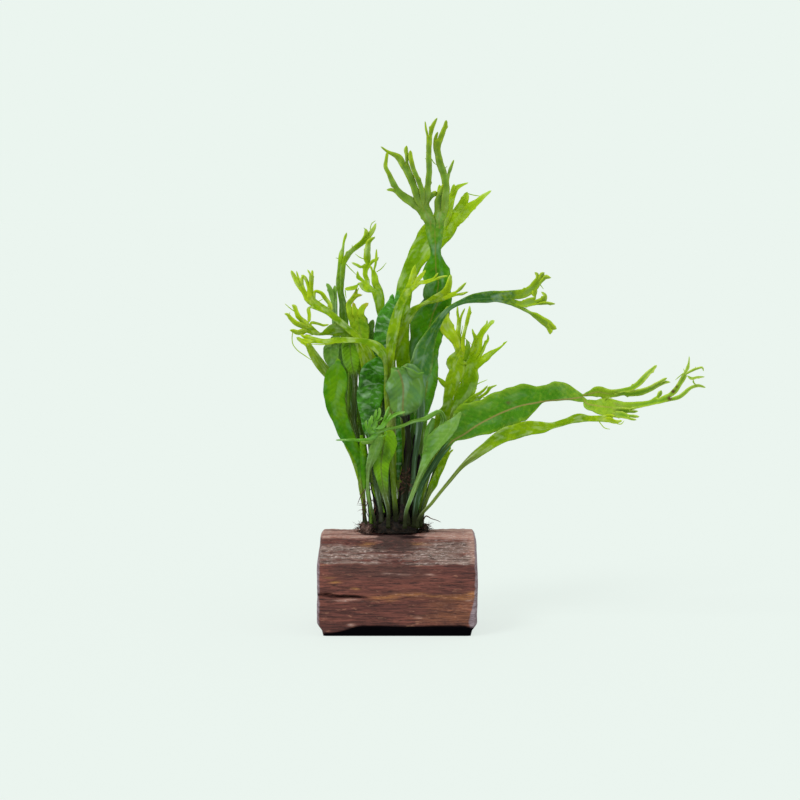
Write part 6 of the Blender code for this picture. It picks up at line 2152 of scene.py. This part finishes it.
@dataclass(frozen=True)
class CreepingStem:
    """The rhizome: a knobbly black-brown stem that lies on the wood, set with the stubs of dead stalks."""

    lumps: float = 0.9  # how far its knobs stand, mm
    stub_height: float = 3.4  # mm
    stub_radius: float = 0.75  # mm
    stubs: int = 26
    stub_sunk: float = 2.2  # how far it goes down into the stem, mm
    stalk_sides: int = 8
    stalk_rows: int = 24
    sunk: float = 2.0  # how far an old stalk goes down into the stem, mm
    # The old stalks are near-black, in the bark's finish: partly old stalks, partly dark things that stand
    # in for the shade among the living stalks.
    old_stalks: tuple[tuple[float, ...], ...] = (
        (-8.0, 0.0, -10.0, 55.0, 0.0, 0.5), (-7.2, -2.0, -8.6, 61.0, -3.0, 0.6),
        (-6.0, 1.0, -8.0, 74.0, 0.5, 0.7), (-4.4, 0.4, -5.6, 80.0, 0.5, 0.8),
        (-2.8, -1.0, -2.4, 72.0, -1.6, 0.7), (-1.2, 1.4, -1.0, 84.0, 1.4, 0.8),
        (0.4, -1.4, 0.9, 78.0, -2.2, 0.8), (1.6, -4.4, 4.6, 75.0, -8.0, 0.8),
        (2.6, -1.0, 3.6, 82.0, -1.0, 0.9), (4.4, 0.6, 6.4, 74.0, 0.6, 0.8),
        (5.6, -2.0, 8.4, 66.0, -2.6, 0.6),
    )  # (x, y) of the foot, then across, up, depth and half width at the top, mm
    seed: int = 5

    def mound(self, name: str, centre: Sequence[float], half: Sequence[float], power: float, lumps: float,
              finish: bpy.types.Material) -> bpy.types.Object:
        """Builds a knobbly mound with a flat underside.

        Args:
            name: the object's name.
            centre: the middle of its underside, mm.
            half: half length, half depth and height, mm.
            power: 2 is an ellipsoid, more is boxier.
            lumps: how far its knobs stand, mm.
            finish: its material.

        Returns:
            The mound.
        """
        deselect()
        bpy.ops.mesh.primitive_uv_sphere_add(segments=96, ring_count=64, radius=1.0)
        made = bpy.context.object
        made.name = name
        mesh = made.data
        unit = np.empty(len(mesh.vertices) * 3, np.float32)
        mesh.vertices.foreach_get("co", unit)
        unit = unit.reshape(-1, 3).astype(float)
        size = np.sum(np.abs(unit) ** power, axis=1) ** (-1.0 / power)
        place = unit * size[:, None] * np.array(half)
        for i, direction in enumerate(unit):
            spot = Vector(place[i] + np.array(centre))
            knob = noise.noise(0.42 * spot) + 0.6 * abs(noise.noise(0.95 * spot))
            knob += 0.35 * noise.noise(2.3 * spot)
            place[i] += direction * lumps * (knob - 0.55)
        place += np.array(centre)
        place[:, 2] = np.maximum(place[:, 2], centre[2])
        mesh.vertices.foreach_set("co", (place * MM).astype(np.float32).ravel())
        join([made], weld=1e-6, closed=True)
        bpy.ops.object.shade_smooth()
        mesh.materials.append(finish)
        return made

    def model_stub(self) -> bpy.types.Object:
        """One broken-off stalk: a tapered cylinder with a ragged top."""
        deselect()
        bpy.ops.mesh.primitive_cone_add(
            vertices=9, radius1=self.stub_radius * MM, radius2=0.6 * self.stub_radius * MM,
            depth=self.stub_height * MM, location=(0.0, 0.0, 0.5 * self.stub_height * MM)
        )
        stub = bpy.context.object
        bpy.ops.object.transform_apply(location=True, rotation=True, scale=True)
        bpy.ops.object.mode_set(mode="EDIT")
        bpy.ops.mesh.select_all(action="SELECT")
        bpy.ops.mesh.subdivide(number_cuts=1)
        bpy.ops.object.mode_set(mode="OBJECT")
        for vertex in stub.data.vertices:
            spot = vertex.co / MM
            vertex.co.x += 0.16 * MM * noise.noise(1.4 * spot)
            vertex.co.y += 0.16 * MM * noise.noise(1.4 * spot + Vector((7.0, 0.0, 0.0)))
            vertex.co.z += 0.5 * MM * noise.noise(2.0 * spot) * (spot.z / self.stub_height)
        bpy.ops.object.shade_smooth_by_angle(angle=math.radians(60.0))
        return stub

    def lay_stalk(self, stalk: Sequence[float], rng: random.Random) -> bpy.types.Object:
        """Makes one old stalk that has lost its leaf, crooked and tapered.

        Args:
            stalk: (x, y) of its foot, then across, up, depth and half width at its top, mm.
            rng: the stem's own random numbers.

        Returns:
            The stalk, closed at both ends.
        """
        x, y, across, up, depth, half = stalk
        start = laid_out(x, y, foot_height(x, y) - self.sunk)
        along = np.linspace(0.0, 1.0, self.stalk_rows)
        middle = np.outer(1.0 - along, (start[0], start[1], y)) + np.outer(along, (across, up, depth))
        for axis in (0, 2):
            waves = rng.uniform(0.8, 1.6)
            middle[:, axis] += 0.35 * np.sin(2.0 * math.pi * along * waves + rng.uniform(0.0, 6.3))
        wide = half * (1.35 - 0.5 * along) * (1.0 + 0.16 * np.sin(along * rng.uniform(25.0, 50.0)))
        return tube("old_stalk", middle, wide, self.stalk_sides)

    def build(self) -> bpy.types.Object:
        """Builds the creeping stem with its stubs and its old stalks."""
        bark = RootFinish("wet_black_brown_rhizome_bark", dark="#0c0a08", light="#2e2118")
        # A little larger, because its hollows take more away than its knobs add.
        half = STEM_HALF * np.array((1.03, 1.0, 1.06))
        stem = self.mound("creeping_stem", STEM_CENTRE, half, STEM_POWER, self.lumps, bark.dress())
        rng = random.Random(self.seed)
        model = self.model_stub()
        copies = []
        for _ in range(self.stubs):
            copy = model.copy()
            copy.data = model.data.copy()
            bpy.context.collection.objects.link(copy)
            x = STEM_CENTRE[0] + STEM_HALF[0] * rng.uniform(-0.85, 0.85)
            y = STEM_CENTRE[1] + STEM_HALF[1] * rng.uniform(-0.85, 0.6)
            lean = Vector((0.06 * (x - STEM_CENTRE[0]), 0.09 * (y - STEM_CENTRE[1]), 1.0)).normalized()
            turn = Vector((0.0, 0.0, 1.0)).rotation_difference(lean).to_matrix().to_4x4()
            size = rng.uniform(0.6, 1.15)
            base = Vector((x, y, foot_height(x, y) - self.stub_sunk)) * MM
            copy.data.transform(turn)
            for vertex in copy.data.vertices:
                vertex.co = base + vertex.co * size
            copies.append(copy)
        bpy.data.objects.remove(model)
        stalks = join([self.lay_stalk(stalk, rng) for stalk in self.old_stalks], weld=1e-7, closed=True)
        bpy.ops.object.shade_smooth()
        copies.append(stalks)
        for copy in copies:
            copy.data.materials.append(stem.data.materials[0])
        return join([stem] + copies)


@dataclass(frozen=True)
class Roots:
    """The root clumps at both ends of the creeping stem, and the hair-fine roots over wood and stem."""

    clusters: tuple[tuple[tuple[float, float, float], tuple[float, float, float], float], ...] = (
        ((-12.0, 0.6, 36.4), (3.4, 5.2, 4.2), 0.3), ((10.0, 1.6, 36.4), (2.4, 3.8, 3.6), 0.12),
        ((-0.8, 1.5, 36.55), (8.6, 7.6, 6.0), 0.3), ((-11.6, -3.6, 44.0), (1.6, 1.4, 6.0), 0.1),
        ((3.0, -8.2, 52.0), (1.4, 1.0, 12.0), 0.2),
    )  # where hairs grow: the middle, half size and share of them, mm
    long_roots: tuple[tuple[tuple[float, float, float, float], ...], ...] = (
        ((9.4, 40.2, -1.5, 0.2), (10.6, 42.4, -2.5, 0.24), (12.7, 41.4, -3.0, 0.17),
         (14.9, 40.7, -3.4, 0.13), (16.3, 40.0, -3.4, 0.08)),
        ((-12.2, 52.4, -6.0, 0.12), (-13.6, 50.6, -6.4, 0.14), (-14.6, 48.4, -6.2, 0.12),
         (-15.2, 46.8, -6.0, 0.06)),
        ((-9.6, 53.4, -5.8, 0.15), (-11.0, 51.2, -6.4, 0.17), (-10.4, 48.6, -6.6, 0.17),
         (-12.0, 46.4, -6.2, 0.14), (-11.2, 42.0, -4.6, 0.14)),
        ((-13.2, 49.0, -5.0, 0.1), (-11.6, 47.6, -6.0, 0.14), (-9.8, 48.4, -6.6, 0.14),
         (-8.6, 46.0, -6.2, 0.14), (-9.4, 41.6, -5.0, 0.12)),
        ((-14.6, 51.0, -5.4, 0.08), (-13.0, 48.6, -6.2, 0.12), (-13.4, 45.4, -5.4, 0.12),
         (-12.4, 41.0, -4.0, 0.12)),
    )  # places on each: across, up, depth and radius, mm
    left_centre: tuple[float, float, float] = (-11.7, 0.6, 36.4)
    left_half: tuple[float, float, float] = (3.1, 5.2, 4.2)
    left_lumps: float = 1.2  # mm
    right_centre: tuple[float, float, float] = (9.6, 1.6, 36.4)
    right_half: tuple[float, float, float] = (2.1, 3.8, 3.3)
    right_lumps: float = 1.0  # mm
    clump_power: float = 2.4  # a little boxier than an ellipsoid
    hair_length: float = 2.0  # mm
    hair_radius: float = 0.1  # mm; real ones are 0.05 mm, too fine to show
    hair_start: float = 0.86  # as a share of the way from a clump's middle to its surface
    hairs: int = 460
    lowest: float = 36.15  # just inside the block's top, mm
    long_rows: int = 30
    long_sides: int = 6
    seed: int = 11

    def model_hair(self) -> bpy.types.Object:
        """One hair: a thin straight tapered tube of unit length along +Z, cut into rows so that its copies
        can curve.
        """
        deselect()
        bpy.ops.mesh.primitive_cone_add(
            vertices=4, radius1=1.0, radius2=0.35, depth=1.0, location=(0.0, 0.0, 0.5)
        )
        hair = bpy.context.object
        bpy.ops.object.transform_apply(location=True, rotation=True, scale=True)
        bpy.ops.object.mode_set(mode="EDIT")
        for cut in range(1, 6):
            bpy.ops.mesh.select_all(action="SELECT")
            bpy.ops.mesh.bisect(plane_co=(0.0, 0.0, cut / 6.0), plane_no=(0.0, 0.0, 1.0))
        bpy.ops.object.mode_set(mode="OBJECT")
        return hair

    def build_hairs(self) -> bpy.types.Object:
        """Copies the model hair over the stem, the clumps and the wood by them, and adds the long roots."""
        rng = random.Random(self.seed)
        model = self.model_hair()
        shape = np.array([tuple(v.co) for v in model.data.vertices])
        copies = []
        for _ in range(self.hairs):
            copy = model.copy()
            copy.data = model.data.copy()
            bpy.context.collection.objects.link(copy)
            centre, half, _ = rng.choices(self.clusters, [share for *_, share in self.clusters])[0]
            turn = rng.uniform(0.0, 2.0 * math.pi)
            lift = rng.uniform(0.0, 1.0)
            level = math.cos(lift)
            out = np.array((math.cos(turn) * level, math.sin(turn) * level, math.sin(lift)))
            start = np.array(centre) + np.array(half) * out * self.hair_start
            drop = np.array((rng.uniform(-0.7, 0.7), rng.uniform(-0.7, 0.7), rng.uniform(-1.0, 0.4)))
            heading = out + 0.7 * drop
            heading /= np.linalg.norm(heading)
            length = self.hair_length * rng.uniform(0.35, 1.3)
            bend = np.array((rng.uniform(-1.0, 1.0), rng.uniform(-1.0, 1.0), rng.uniform(-1.2, 0.2)))
            bend = bend * 0.35 * length
            across = np.cross(heading, (0.3, 0.2, 0.9))
            across /= np.linalg.norm(across)
            aside = np.cross(heading, across)
            radius = self.hair_radius * rng.uniform(0.7, 1.5)
            t = shape[:, 2:3]
            spot = start + heading * (t * length) + bend * t * t
            spot = spot + (across * shape[:, 0:1] + aside * shape[:, 1:2]) * radius
            spot[:, 2] = np.maximum(spot[:, 2], self.lowest)
            copy.data.vertices.foreach_set("co", (spot * MM).astype(np.float32).ravel())
            copies.append(copy)
        bpy.data.objects.remove(model)
        for root in self.long_roots:
            controls = np.array(root)
            lengths = distances(controls[:, :3])
            run = smooth_run(controls, lengths, np.linspace(0.0, lengths[-1], self.long_rows))
            copies.append(tube("long_root", run[:, :3], run[:, 3], self.long_sides))
        hairs = join(copies, weld=1e-7, closed=True)
        hairs.name = "root_hairs"
        finish = RootFinish("dry_red_brown_root_hair", dark="#2a1812", light="#7a5140", lump_mm=0.8)
        hairs.data.materials.append(finish.dress())
        pick([hairs], hairs)
        bpy.ops.object.shade_smooth()
        return hairs

    def build(self, stem: CreepingStem) -> dict[str, bpy.types.Object]:
        """Builds both clumps and the hairs.

        Args:
            stem: makes the mounds.

        Returns:
            Each piece by the CAD node that it stands for; the hairs stand for none.
        """
        peat = RootFinish("matted_purple_brown_roots", dark="#2c1f1c", light="#8a6c62", lump_mm=0.9).dress()
        wet = RootFinish("matted_wet_black_roots", dark="#0d0b09", light="#3a2a20", lump_mm=0.9).dress()
        left, right = (
            stem.mound(name, centre, half, self.clump_power, lumps, finish)
            for name, centre, half, lumps, finish in (
                ("left_root_clump", self.left_centre, self.left_half, self.left_lumps, peat),
                ("right_root_clump", self.right_centre, self.right_half, self.right_lumps, wet),
            )
        )
        return {"root_clump_left": left, "root_clump_right": right, "": self.build_hairs()}


@dataclass(frozen=True)
class Studio:
    """The pale floor and background, the soft light and the camera."""

    camera_place: tuple[float, float, float] = (0.0008, -0.9, 0.1552)  # m
    camera_down: float = 4.384  # degrees below the horizon
    lens: float = 108.315  # mm
    background: str = "#ebf5ef"
    floor_radius: float = 60.0  # m
    sensor: float = 36.0  # mm
    near: float = 0.01  # m
    far: float = 200.0  # m

    def build(self) -> None:
        """Builds the floor, the light and the camera."""
        scene = bpy.context.scene
        scene.view_settings.view_transform = "Standard"
        scene.view_settings.look = "None"
        world = bpy.data.worlds.new("pale_studio")
        world.use_nodes = True
        world.node_tree.nodes.clear()
        sky = add_node(world.node_tree, "ShaderNodeBackground", {"Color": self.background, "Strength": 1.0})
        out = world.node_tree.nodes.new("ShaderNodeOutputWorld")
        world.node_tree.links.new(sky.outputs[0], out.inputs["Surface"])
        scene.world = world
        deselect()
        bpy.ops.mesh.primitive_circle_add(vertices=128, radius=self.floor_radius, fill_type="TRIFAN")
        floor = bpy.context.object
        floor.name = "pale_floor"
        floor.data.materials.append(FloorFinish().dress())
        for name, angles, power, spread in (
            ("key", (46.0, 0.0, -38.0), 1.9, 20.0),
            ("fill", (62.0, 0.0, 52.0), 0.4, 60.0),
        ):
            deselect()
            bpy.ops.object.light_add(type="SUN", rotation=[math.radians(a) for a in angles])
            light = bpy.context.object
            light.name = name
            light.data.energy = power
            light.data.angle = math.radians(spread)
        deselect()
        bpy.ops.object.camera_add(
            location=self.camera_place, rotation=(math.radians(90.0 - self.camera_down), 0.0, 0.0)
        )
        camera = bpy.context.object
        camera.data.lens = self.lens
        camera.data.sensor_width = self.sensor
        camera.data.clip_start = self.near
        camera.data.clip_end = self.far
        scene.camera = camera


def settle(piece: bpy.types.Object, node: str = "") -> None:
    """Fixes a finished piece to the frame and reports it.

    Args:
        piece: the piece.
        node: the CAD node that it stands for, if there is one.
    """
    if node:
        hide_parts(node)
    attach(piece, "root")
    faces = sum(len(face.vertices) - 2 for face in piece.data.polygons)
    LOG.info("%s: %d triangles", piece.name, faces)


def main() -> None:
    """Builds every piece in order."""
    logging.basicConfig(level=logging.INFO, format="%(name)s %(message)s")
    Studio().build()
    settle(Driftwood().build(), "driftwood")
    stem = CreepingStem()
    settle(stem.build(), "rhizome")
    for node, piece in Roots().build(stem).items():
        settle(piece, node)
    for node, frond in FRONDS.items():
        settle(frond.build(node), node)


if __name__ == "__main__":
    main()
